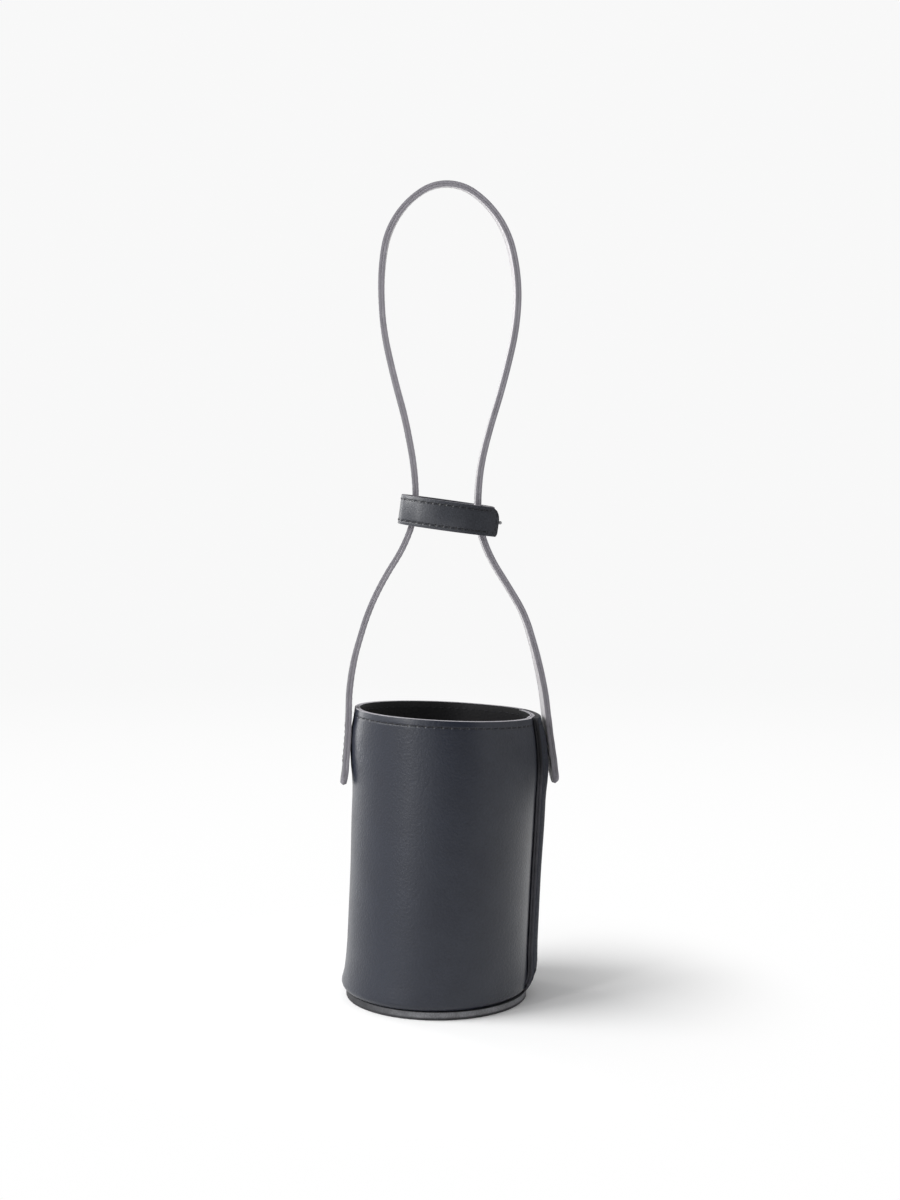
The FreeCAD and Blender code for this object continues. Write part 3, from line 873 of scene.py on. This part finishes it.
seam_count = round(2 * math.pi * seam_radius / RIM_PITCH)
spots = []
for i in range(seam_count):
    point, heading = cup_angle(seam_radius, 360 * i / seam_count)
    spots.append(stitch_spot(level(point, CHANNEL_DEPTH), level(heading), -UP, RIM_PITCH))
stands_for(sew("sole_thread", spots), "carrier", "thread", "sole_stitching")

# %% Stitches of the strap
STRAP_PITCH, STRAP_MARGIN, TIP_MARGIN = mm(3.4, 2.0, 4.0)
OUTSIDE_PROUD, INSIDE_PROUD = mm(0.08, 0.12)
ANCHOR_LOW, ANCHOR_HIGH = mm(120.0, 139.0)
strap_row = STRAP_WIDTH / 2 - STRAP_MARGIN


def strap_rows(path, out_by, out_sign, proud):
    """Both edge rows of one face of the strap, without the stretches that are sewn to the cup."""
    length = path_length(path)
    field = [nearest(path, complex(side * LEG_STATIONS["rim"][0] * MM, z))[0]
             for side, z in ((1, ANCHOR_LOW), (1, ANCHOR_HIGH), (-1, ANCHOR_HIGH), (-1, ANCHOR_LOW))]
    spots = []
    for y in (-strap_row, strap_row):
        for first, last in ((TIP_MARGIN, field[0]), (field[1], field[2]), (field[3], length - TIP_MARGIN)):
            first = math.ceil(first / STRAP_PITCH) * STRAP_PITCH
            spots += path_row(upright, path, out_by, out_sign, y, STRAP_PITCH, first, last, proud)
    return spots


half_leather = STRAP_LEATHER / 2
outside_rows = strap_rows(outer_path, -half_leather, -1, OUTSIDE_PROUD)
inside_rows = strap_rows(inner_path, half_leather, 1, INSIDE_PROUD)
stands_for(sew("strap_outside_thread", outside_rows), "carrier", "thread")
stands_for(sew("strap_inside_thread", inside_rows), "carrier", "thread")

# %% Stitches that hold the strap to the cup
strap_face = LEG_STATIONS["rim"][0] * MM + strap_thickness / 2


def anchor_spots(side):
    """A box of stitches on the right side (1) or the left side (-1)."""
    rows, columns = round((ANCHOR_HIGH - ANCHOR_LOW) / STRAP_PITCH), round(2 * strap_row / STRAP_PITCH)
    rise, run = (ANCHOR_HIGH - ANCHOR_LOW) / rows, 2 * strap_row / columns
    facing = Vector((side, 0, 0))
    spots = []
    for y in (-strap_row, strap_row):
        for i in range(rows):
            place = facing * strap_face + Vector((0, y, ANCHOR_LOW + (i + 0.5) * rise))
            spots.append(stitch_spot(place, UP, facing, rise))
    for z in (ANCHOR_LOW, ANCHOR_HIGH):
        for i in range(columns):
            place = facing * strap_face + Vector((0, (i + 0.5) * run - strap_row, z))
            spots.append(stitch_spot(place, Vector((0, 1, 0)), facing, run))
    return spots


for side, name in ((-1, "left_anchor"), (1, "right_anchor")):
    thread = sew(f"{name}_thread", anchor_spots(side))
    stands_for(thread, "carrier", "thread", f"{name}_stitching")

# %% Stitches of the collar
lap_cover = 2 * STRAP_PITCH
collar_end = path_length(collar_outer_path) - TIP_MARGIN
collar_row = COLLAR_WIDTH / 2 - STRAP_MARGIN
spots = []
for z in (-collar_row, collar_row):
    spots += path_row(level, collar_outer_path, -COLLAR_LEATHER / 2, -1, z, STRAP_PITCH, lap_cover,
                      collar_end)
edge_thread = sew("collar_edge_thread", [collar_place @ spot for spot in spots])
stands_for(edge_thread, "collar", "thread")

seam_rows = round(2 * collar_row / STRAP_PITCH)
seam_pitch = 2 * collar_row / seam_rows
seam_point, seam_heading = walk(collar_path, path_length(collar_path) - STRAP_MARGIN)
seam_face = seam_point - 1j * seam_heading * collar_thickness
spots = [stitch_spot(level(seam_face, (i + 0.5) * seam_pitch - collar_row), UP, level(-1j * seam_heading),
                     seam_pitch) for i in range(seam_rows)]
seam_thread = sew("collar_seam_thread", [collar_place @ spot for spot in spots])
stands_for(seam_thread, "collar", "thread", "collar_seam_stitching")
bpy.data.objects.remove(stitch)

# %% Knot of the collar
KNOT_RADIUS, KNOT_STAND = mm(0.9, 1.3)
KNOT_DEPTH = 0.8            # share of the collar's thickness
KNOT_SIDES = 10

end_point, end_heading = walk(collar_path, path_length(collar_path))
knot_point = end_point - 1j * end_heading * KNOT_DEPTH * collar_thickness
knot = fresh("closing_knot", bpy.ops.mesh.primitive_cylinder_add, vertices=KNOT_SIDES, radius=THREAD / 2,
             depth=2 * KNOT_STAND, location=level(knot_point),
             rotation=(0, math.pi / 2, cmath.phase(end_heading)))
ball = fresh("knot_ball", bpy.ops.mesh.primitive_ico_sphere_add, subdivisions=3, radius=KNOT_RADIUS,
             location=level(knot_point + end_heading * KNOT_STAND))
only(knot, ball)
bpy.ops.object.join()
knot.data.transform(collar_place)
bpy.ops.object.shade_smooth()
stands_for(knot, "collar", "thread", "collar_knot")

# %% [markdown]
# ## Finishes
# Every finish is built from nodes. What several leathers share is a node group: the fine pores and the
# cloudy tone of dyed leather, the dents round stitch holes, and the fibres of a cut edge. Each material
# places these groups with its own values and keeps its own shader.

# %% Helpers for nodes
def feed(tree, socket, value):
    """Links an output to a socket, or sets the socket's value. A colour is given without its alpha."""
    if isinstance(value, bpy.types.NodeSocket):
        tree.links.new(value, socket)
    else:
        socket.default_value = (*value, 1) if socket.type == "RGBA" else value


def fill(tree, node, **inputs):
    """Feeds inputs of a node and returns its outputs. An underscore in a name stands for a space."""
    for key, value in inputs.items():
        feed(tree, node.inputs[key.replace("_", " ")], value)
    return node.outputs


def add(tree, kind, inputs=None, **settings):
    """A node with its settings and inputs."""
    made = tree.nodes.new(kind)
    for key, value in settings.items():
        setattr(made, key, value)
    for key, value in (inputs or {}).items():
        feed(tree, made.inputs[key], value)
    return made


def calc(tree, operation, *values):
    """A Math node's output."""
    made = tree.nodes.new("ShaderNodeMath")
    made.operation = operation
    for socket, value in zip(made.inputs, values):
        feed(tree, socket, value)
    return made.outputs[0]


# %% Helpers for masks, colours and patterns
MIX_A, MIX_B, MIX_RESULT = 6, 7, 2              # the colour sockets of a Mix node


def smooth_step(tree, value, low, high):
    """0 below one limit, 1 above the other, and smooth between."""
    made = add(tree, "ShaderNodeMapRange", {"Value": value, "From Min": low, "From Max": high},
               interpolation_type="SMOOTHSTEP")
    return made.outputs["Result"]


def between(tree, mask, at_none, at_full):
    """A value that goes from one limit to the other as a mask goes from 0 to 1."""
    made = add(tree, "ShaderNodeMapRange", {"Value": mask, "To Min": at_none, "To Max": at_full})
    return made.outputs["Result"]


def tint(tree, mask, dark, light):
    """Mixes two colours by a mask."""
    made = add(tree, "ShaderNodeMix", {"Factor": mask, MIX_A: dark, MIX_B: light}, data_type="RGBA")
    return made.outputs[MIX_RESULT]


def noise(tree, place, scale, detail, roughness=0.5):
    """A Noise texture's outputs."""
    made = add(tree, "ShaderNodeTexNoise")
    return fill(tree, made, Vector=place, Scale=scale, Detail=detail, Roughness=roughness)


# %% Helpers for node groups
def new_group(name, inputs, outputs):
    """An empty node group with named sockets, and its input and output nodes."""
    tree = bpy.data.node_groups.new(name, "ShaderNodeTree")
    for socket in inputs:
        kind = "NodeSocketVector" if socket == "Vector" else "NodeSocketFloat"
        tree.interface.new_socket(socket, in_out="INPUT", socket_type=kind)
    for socket in outputs:
        tree.interface.new_socket(socket, in_out="OUTPUT", socket_type="NodeSocketFloat")
    print("node group", name, "gives", " and ".join(outputs))
    return tree, tree.nodes.new("NodeGroupInput").outputs, tree.nodes.new("NodeGroupOutput").inputs


def use(tree, group, **inputs):
    """Places a node group."""
    return fill(tree, add(tree, "ShaderNodeGroup", node_tree=group), **inputs)


# %% Node group: pores and tone of dyed leather
WANDER, WANDERS_PER_METRE = 0.6 * MM, 400.0
FINE_PORES = 2.5            # fine pores on the length of one pore
PORE_SHARE, FINE_SHARE = 0.7, 0.4
CLOUDS_PER_METRE, SPECKS_PER_METRE = 45.0, 900.0
CLOUD_SHARE, SPECK_SHARE = 0.65, 0.35
TONE_LIMITS = 0.3, 0.7

grain, given, result = new_group("leather_grain", ["Vector", "Pores per metre"], ["Height", "Tone"])
place, pores = given["Vector"], given["Pores per metre"]
wander = noise(grain, place, WANDERS_PER_METRE, detail=2.0)["Color"]
nudge = add(grain, "ShaderNodeVectorMath", {0: wander, "Scale": WANDER}, operation="SCALE")
moved = add(grain, "ShaderNodeVectorMath", {0: place, 1: nudge.outputs[0]}, operation="ADD")
cells = add(grain, "ShaderNodeTexVoronoi", {"Vector": moved.outputs[0], "Scale": pores}, feature="SMOOTH_F1")
pits = calc(grain, "MULTIPLY", cells.outputs["Distance"], -PORE_SHARE)
fine = noise(grain, place, calc(grain, "MULTIPLY", pores, FINE_PORES), detail=3.0)["Fac"]
feed(grain, result["Height"], calc(grain, "MULTIPLY_ADD", fine, FINE_SHARE, pits))
cloud = noise(grain, place, CLOUDS_PER_METRE, detail=5.0, roughness=0.6)["Fac"]
speck = noise(grain, place, SPECKS_PER_METRE, detail=2.0)["Fac"]
mixed_tone = calc(grain, "MULTIPLY_ADD", cloud, CLOUD_SHARE, calc(grain, "MULTIPLY", speck, SPECK_SHARE))
feed(grain, result["Tone"], smooth_step(grain, mixed_tone, *TONE_LIMITS))

# %% Node group: dents round stitch holes
DENT_LIMITS, GROOVE_LIMITS = mm(0.85, 0.2), mm(0.9, 0.2)

dents, given, result = new_group("stitch_dents", ["Along", "Across", "Pitch"], ["Dent", "Groove"])
across, pitch = given["Across"], given["Pitch"]
half_pitch = calc(dents, "MULTIPLY", pitch, 0.5)
wrapped = calc(dents, "WRAP", calc(dents, "ADD", given["Along"], half_pitch), pitch, 0.0)
to_hole = calc(dents, "SUBTRACT", wrapped, half_pitch)
squares = calc(dents, "MULTIPLY_ADD", to_hole, to_hole, calc(dents, "MULTIPLY", across, across))
feed(dents, result["Dent"], smooth_step(dents, calc(dents, "SQRT", squares), *DENT_LIMITS))
feed(dents, result["Groove"], smooth_step(dents, calc(dents, "ABSOLUTE", across), *GROOVE_LIMITS))

# %% Node group: fibres of a cut edge
PATCHES_PER_METRE = 160.0
STRAND_SHARE, PATCH_SHARE = 0.6, 0.4

fibres, given, result = new_group("cut_fibres", ["Vector", "Fibres per metre"], ["Height", "Tone"])
strands = noise(fibres, given["Vector"], given["Fibres per metre"], detail=4.0, roughness=0.7)["Fac"]
patches = noise(fibres, given["Vector"], PATCHES_PER_METRE, detail=3.0)["Fac"]
feed(fibres, result["Height"], strands)
patched = calc(fibres, "MULTIPLY", patches, PATCH_SHARE)
mixed_tone = calc(fibres, "MULTIPLY_ADD", strands, STRAND_SHARE, patched)
feed(fibres, result["Tone"], smooth_step(fibres, mixed_tone, *TONE_LIMITS))

# %% [markdown]
# ## The leathers
# The outside is smooth dyed leather, a blue black that goes grey where light grazes it. Where it is
# stitched, the thread draws it in and lowers it, and shade is painted into the dents. Cut edges are
# undyed inside and show as a pale mauve grey, and the lap's edges and the sole's edge get painted shade.
# Some tones are taken to be wear of the wax: rubbed off the lap, near the rim beside it and on the
# collar, and polished on the cup lower down. Masks change the roughness and the coat there.

# %% Helpers for materials
def new_material(name):
    """A material, its node tree and its shader."""
    made = bpy.data.materials.new(name)
    made.use_nodes = True
    print("finish", name)
    return made, made.node_tree, made.node_tree.nodes["Principled BSDF"]


def set_bump(tree, shader, height, distance, strength):
    """Raises and lowers a finish by a height."""
    bump = add(tree, "ShaderNodeBump", {"Height": height, "Distance": distance, "Strength": strength})
    feed(tree, shader.inputs["Normal"], bump.outputs["Normal"])


def run_map(tree):
    """The two values of the UV map, along and across a sheet or a stitch."""
    run = add(tree, "ShaderNodeUVMap", uv_map="run").outputs["UV"]
    split = add(tree, "ShaderNodeSeparateXYZ", {"Vector": run}).outputs
    return split["X"], split["Y"]


# %% Dyed leather and its cut edges
# painted shade in the dents round stitch holes, and how far the dents sink
DENT_SHADE_DARK, DENT_SHADE_SHARE, HOLE_SINKS = (0.002, 0.002, 0.003), 0.8, 2.0
# colour and share of the painted shade on cut edges
PAINTED_SHADE_DARK, PAINTED_SHADE_SHARE = (0.012, 0.012, 0.014), 0.85
RUBBED_ROUGH, POLISH, WAX_ROUGH = 0.95, 0.65, 0.25
EDGE_ROUGH, EDGE_GLOSS = 0.75, 0.3
FIBRES_PER_METRE = 1600.0
PORE_BUMP, FIBRE_BUMP = (0.2 * MM, 0.8), (0.15 * MM, 0.3)       # distance and strength


def dyed_leather(name, dark, light, rough, pores, gloss, wax=0.0, rows=None):
    """Dyed leather with some wax on it. rows(tree, along, across) gives the dent and groove of its stitch
    rows, and perhaps masks of where wax is left and where it is polished."""
    made, tree, shader = new_material(name)
    place = add(tree, "ShaderNodeTexCoord").outputs["Object"]
    grain_out = use(tree, grain, Vector=place, Pores_per_metre=pores)
    colour, height = tint(tree, grain_out["Tone"], dark, light), grain_out["Height"]
    roughness = between(tree, grain_out["Tone"], *reversed(rough))
    coat = wax
    if rows:
        dent, groove, *wear = rows(tree, *run_map(tree))
        # painted shade darkens the dents round the stitch holes
        colour = tint(tree, calc(tree, "MULTIPLY", dent, DENT_SHADE_SHARE), colour, DENT_SHADE_DARK)
        height = calc(tree, "SUBTRACT", height, calc(tree, "MULTIPLY_ADD", dent, HOLE_SINKS, groove))
        if wear:
            waxed, polished = wear
            roughness = between(tree, waxed, RUBBED_ROUGH, roughness)
            coat = calc(tree, "MULTIPLY_ADD", polished, POLISH, calc(tree, "MULTIPLY", waxed, wax))
    fill(tree, shader, Base_Color=colour, Roughness=roughness, Coat_Weight=coat)
    fill(tree, shader, Specular_IOR_Level=gloss, Coat_Roughness=WAX_ROUGH)
    set_bump(tree, shader, height, *PORE_BUMP)
    return made


def cut_leather(name, dark, light, shade_mask=None):
    """A cut edge with short fibres. A mask function given last sets where shade is painted on it."""
    made, tree, shader = new_material(name)
    place = add(tree, "ShaderNodeTexCoord").outputs["Object"]
    fibre_out = use(tree, fibres, Vector=place, Fibres_per_metre=FIBRES_PER_METRE)
    colour = tint(tree, fibre_out["Tone"], dark, light)
    if shade_mask:
        # painted shade darkens the edge where the mask is high
        colour = tint(tree, calc(tree, "MULTIPLY", shade_mask(tree, place), PAINTED_SHADE_SHARE), colour, PAINTED_SHADE_DARK)
    fill(tree, shader, Base_Color=colour, Roughness=EDGE_ROUGH, Specular_IOR_Level=EDGE_GLOSS)
    set_bump(tree, shader, fibre_out["Height"], *FIBRE_BUMP)
    return made


# %% Stitch rows and wear
WAX_RUBBED = 0.75
HANDLED, HANDLED_LOW = 44 * MM, mm(18, 62)      # along the wall to the lap, and down from the rim
LAP_RUBBED = mm(2.4, 26.4)                      # along the wall from the edge of the lap


def holes(tree, along, across, row, pitch):
    """Dent and groove of a row of stitches that lies at a distance across the leather."""
    out = use(tree, dents, Along=along, Across=calc(tree, "SUBTRACT", across, row), Pitch=pitch)
    return out["Dent"], out["Groove"]


def edge_rows(row, wear=None):
    """Stitch rows along both edges of a strip, at a distance from its middle line. wear gives two distances
    along the strip, between which its wax is more and more rubbed off."""
    def rows(tree, along, across):
        sewn = holes(tree, along, calc(tree, "ABSOLUTE", across), row, STRAP_PITCH)
        if not wear:
            return sewn
        rubbed = smooth_step(tree, along, *wear)
        return *sewn, calc(tree, "MULTIPLY_ADD", rubbed, -WAX_RUBBED, 1.0), 0.0
    return rows


def cup_rows(tree, along, across):
    """The rim's row and the upright row beside the edge of the lap, and the wear of the wax on both sides of
    that edge: rubbed off on the lap and near the rim, and polished lower down."""
    rim_dent, rim_groove = holes(tree, along, across, RIM_MARGIN, RIM_PITCH)
    height = calc(tree, "SUBTRACT", rim - wall_start, across)
    lap_dent, lap_groove = holes(tree, height, along, LAP_MARGIN, RIM_PITCH)
    handled = smooth_step(tree, along, shown_wall - HANDLED, shown_wall)
    low = smooth_step(tree, across, *HANDLED_LOW)
    rubbed = calc(tree, "MULTIPLY", handled, calc(tree, "SUBTRACT", 1.0, low))
    by_rim = calc(tree, "MULTIPLY_ADD", rubbed, -WAX_RUBBED, 1.0)
    waxed = calc(tree, "MULTIPLY", smooth_step(tree, along, *LAP_RUBBED), by_rim)
    polished = calc(tree, "MULTIPLY", handled, low)
    dent, groove = calc(tree, "MAXIMUM", rim_dent, lap_dent), calc(tree, "MAXIMUM", rim_groove, lap_groove)
    return dent, groove, waxed, polished


# %% Painted shade on cut edges
# heights over which the painted shade on the lap's edges grows
LAP_DARKENS = mm(108, 124)
# where the painted shade on the sole's edge fades out, upwards and towards the right
SOLE_CORNER, SOLE_SIDE = mm(0.8, 1.8), mm(-48, -8)


def lap_shade(tree, place):
    """Painted shade on the lap's edges: darker towards the rim, where the strap's end shades them."""
    split = add(tree, "ShaderNodeSeparateXYZ", {"Vector": place}).outputs
    return smooth_step(tree, split["Z"], *LAP_DARKENS)


def sole_shade(tree, place):
    """Painted shade on the sole's edge: dark at its lower corner, and on the left under the foot."""
    split = add(tree, "ShaderNodeSeparateXYZ", {"Vector": place}).outputs
    higher, further = smooth_step(tree, split["Z"], *SOLE_CORNER), smooth_step(tree, split["X"], *SOLE_SIDE)
    return calc(tree, "SUBTRACT", 1.0, calc(tree, "MULTIPLY", higher, further))


# %% The leathers
COLLAR_FRONT = 190                              # degrees round the oval
COLLAR_RUBBED = 0.4, 0.75                       # shares of the run from there to the free end
collar_front, _ = nearest(collar_outer_path, on_oval(COLLAR_FRONT)[0])
collar_run = path_length(collar_outer_path) - collar_front
collar_wear = [collar_front + share * collar_run for share in COLLAR_RUBBED]

cup_leather = dyed_leather("cup_leather", (0.006, 0.0085, 0.018), (0.011, 0.0145, 0.026),
                           rough=(0.34, 0.46), pores=900, gloss=0.42, wax=0.2, rows=cup_rows)
strap_leather = dyed_leather("strap_leather", (0.014, 0.016, 0.021), (0.022, 0.024, 0.031),
                             rough=(0.36, 0.48), pores=1500, gloss=0.4, wax=0.2, rows=edge_rows(strap_row))
strap_lining = dyed_leather("strap_lining", (0.50, 0.485, 0.50), (0.60, 0.585, 0.60),
                            rough=(0.5, 0.6), pores=1500, gloss=0.2)
collar_leather = dyed_leather("collar_leather", (0.013, 0.0155, 0.023), (0.025, 0.028, 0.038),
                              rough=(0.38, 0.5), pores=1500, gloss=0.6, wax=0.3,
                              rows=edge_rows(collar_row, collar_wear))
lining_leather = dyed_leather("lining_leather", (0.010, 0.010, 0.011), (0.016, 0.016, 0.017),
                              rough=(0.6, 0.7), pores=1100, gloss=0.2)
sole_leather = dyed_leather("sole_leather", (0.03, 0.031, 0.034), (0.05, 0.051, 0.055),
                            rough=(0.6, 0.75), pores=900, gloss=0.2)
cut_edge = cut_leather("cut_edge", (0.195, 0.186, 0.208), (0.255, 0.245, 0.27))
rim_edge = cut_leather("rim_edge", (0.28, 0.27, 0.295), (0.44, 0.43, 0.455))
# painted shade: a dark copy of the cut edge for the lap's edges and the top of the lap
painted_shade_edge = cut_leather("painted_shade_edge", (0.06, 0.06, 0.07), (0.10, 0.10, 0.115), lap_shade)
sole_edge = cut_leather("sole_edge", (0.10, 0.101, 0.108), (0.25, 0.252, 0.266), sole_shade)

# %% Thread
TWIST = 28.0                # radians along one stitch
PLY_LIMITS = -1.0, 0.6
PLY_BUMP = 0.06 * MM, 0.6
THREAD_ROUGH, THREAD_GLOSS = 0.6, 0.2


def twisted_thread(name, dark, light):
    """Thread whose plies wind round it, with painted shade in the grooves between the plies."""
    made, tree, shader = new_material(name)
    along, around = run_map(tree)
    turned = calc(tree, "MULTIPLY", around, 2 * math.pi)
    twist = calc(tree, "SINE", calc(tree, "MULTIPLY_ADD", along, TWIST, turned))
    ply = smooth_step(tree, twist, *PLY_LIMITS)
    # the ply mask that raises the plies also darkens the grooves between them: painted shade
    fill(tree, shader, Base_Color=tint(tree, ply, dark, light), Roughness=THREAD_ROUGH,
         Specular_IOR_Level=THREAD_GLOSS)
    set_bump(tree, shader, ply, *PLY_BUMP)
    return made


thread_finish = twisted_thread("waxed_thread", (0.006, 0.006, 0.008), (0.022, 0.023, 0.028))
pale_thread = twisted_thread("pale_thread", (0.36, 0.35, 0.36), (0.52, 0.51, 0.52))
knot_finish = twisted_thread("frayed_thread", (0.16, 0.16, 0.17), (0.42, 0.42, 0.43))

# %% Dress every piece
for obj, *finish in (
        (wall, cup_leather, rim_edge, painted_shade_edge),
        (lining, lining_leather, rim_edge, painted_shade_edge),
        (insole, lining_leather),
        (sole, sole_leather, sole_edge),
        (strap_outer, strap_leather, cut_edge),
        (strap_inner, strap_lining, cut_edge),
        (collar_outer, collar_leather, cut_edge),
        (collar_inner, collar_leather, cut_edge)):
    for material in finish:
        obj.data.materials.append(material)
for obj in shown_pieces():
    if "thread" in obj.name:
        obj.data.materials.append(pale_thread if obj.name == "strap_inside_thread" else thread_finish)
knot.data.materials.append(knot_finish)

# %% [markdown]
# ## Floor, light and camera
# The photograph was taken on white with soft light from the left. The floor is pale and matt, and for the
# camera it fades to the white of the background with distance, so no horizon shows. One large lamp on the
# left gives the shadow, narrow ones draw the edges of the cup, and the world fills the rest. Dark leather
# mostly shows what it mirrors, so a dark card stands at the camera's place, as in a studio. The camera
# doesn't see it.

# %% Floor
FLOOR_SIZE, FLOOR_PALE = 12.0, 0.95
MATT = 0.9
FADE_NEAR, FADE_FAR, PALE_FAR = 0.06, 0.2, 2.0
BACKDROP = 0.94


def seen_straight(tree):
    """1 for rays from the camera and rays that were mirrored or passed through, 0 for the rest."""
    seen = add(tree, "ShaderNodeLightPath").outputs
    passed_on = calc(tree, "MAXIMUM", seen["Is Glossy Ray"], seen["Is Transmission Ray"])
    return calc(tree, "MAXIMUM", seen["Is Camera Ray"], passed_on)


floor = fresh("floor", bpy.ops.mesh.primitive_plane_add, size=FLOOR_SIZE)
floor_paint, tree, shader = new_material("floor_paint")
fill(tree, shader, Base_Color=[FLOOR_PALE] * 3, Roughness=MATT, Specular_IOR_Level=0.0)
place = add(tree, "ShaderNodeTexCoord").outputs["Object"]
far = add(tree, "ShaderNodeVectorMath", {0: place}, operation="LENGTH").outputs["Value"]
fade = calc(tree, "MULTIPLY", smooth_step(tree, far, FADE_NEAR, FADE_FAR), seen_straight(tree))
glow = between(tree, smooth_step(tree, far, FADE_NEAR, PALE_FAR), 1.0, BACKDROP)
white = add(tree, "ShaderNodeEmission", {"Color": (1, 1, 1), "Strength": glow})
mix = add(tree, "ShaderNodeMixShader", {0: fade, 1: shader.outputs[0], 2: white.outputs[0]})
feed(tree, tree.nodes["Material Output"].inputs["Surface"], mix.outputs[0])
floor.data.materials.append(floor_paint)

# %% Dark card
CARD_PLACE, CARD_SIZE = (0.15, -1.0, 0.35), (1.0, 0.7, 1)
CARD_DARK = 0.03

card = fresh("front_card", bpy.ops.mesh.primitive_plane_add, CARD_SIZE, size=1, location=CARD_PLACE,
             rotation=(math.pi / 2, 0, 0))
card.visible_camera = False
card_paint, tree, shader = new_material("card_paint")
fill(tree, shader, Base_Color=[CARD_DARK] * 3, Roughness=MATT)
card.data.materials.append(card_paint)

# %% World
WORLD_FILL = 0.55

world = bpy.data.worlds.new("studio")
bpy.context.scene.world = world
world.use_nodes = True
tree = world.node_tree
strength = between(tree, seen_straight(tree), WORLD_FILL, BACKDROP)
fill(tree, tree.nodes["Background"], Color=(1, 1, 1), Strength=strength)
print("world", world.name, "fills with", WORLD_FILL)


# %% Lamps
def lamp(name, place, aim, size, power):
    """An area lamp at a place, turned towards a point."""
    light = bpy.data.lights.new(name, "AREA")
    light.shape = "RECTANGLE"
    light.size, light.size_y = size
    light.energy = power
    obj = bpy.data.objects.new(name, light)
    bpy.context.scene.collection.objects.link(obj)
    obj.location = place
    obj.rotation_euler = (Vector(aim) - Vector(place)).to_track_quat("-Z", "Y").to_euler()
    print("lamp", name, "with", power, "W")


lamp("left_window", place=(-1.0, -0.15, 0.9), aim=(0, 0, 0.1), size=(0.8, 0.8), power=16.0)
lamp("front_strip", place=(-0.80, -0.70, 0.40), aim=(0, 0, 0.10), size=(0.12, 0.8), power=3.0)
lamp("back_strip", place=(-0.65, 0.65, 0.3), aim=(0, 0, 0.12), size=(0.2, 0.6), power=1.5)

# %% Camera
CAMERA_AZIMUTH = math.radians(-5.0)
CAMERA_DISTANCE = 0.746
CAMERA_HEIGHT = 0.2271
CAMERA_PITCH = math.radians(1.92)
CAMERA_ROLL = math.radians(0.30)
FRAME_LONG_SIDE = 1200
FOCAL_PIXELS = 1461.0
AXIS_LEFT_OF_CENTRE = 3.9       # pixels

view = bpy.data.cameras.new("camera")
view.sensor_width = 36.0
view.lens = view.sensor_width * FOCAL_PIXELS / FRAME_LONG_SIDE
view.shift_x = AXIS_LEFT_OF_CENTRE / FRAME_LONG_SIDE
camera = bpy.data.objects.new("camera", view)
bpy.context.scene.collection.objects.link(camera)
away = Vector((math.sin(CAMERA_AZIMUTH), -math.cos(CAMERA_AZIMUTH), 0))
ahead = -away * math.cos(CAMERA_PITCH) - UP * math.sin(CAMERA_PITCH)
right = ahead.cross(UP).normalized()
up = right.cross(ahead)
rolled_right = right * math.cos(CAMERA_ROLL) + up * math.sin(CAMERA_ROLL)
axes = Matrix((rolled_right, (-ahead).cross(rolled_right), -ahead)).transposed()
eye = away * CAMERA_DISTANCE + UP * CAMERA_HEIGHT
camera.matrix_world = Matrix.Translation(eye) @ axes.to_4x4()
bpy.context.scene.camera = camera
bpy.context.scene.view_settings.view_transform = "Standard"
print("camera at", [round(part, 3) for part in eye], "with a lens of", round(view.lens, 2), "mm")
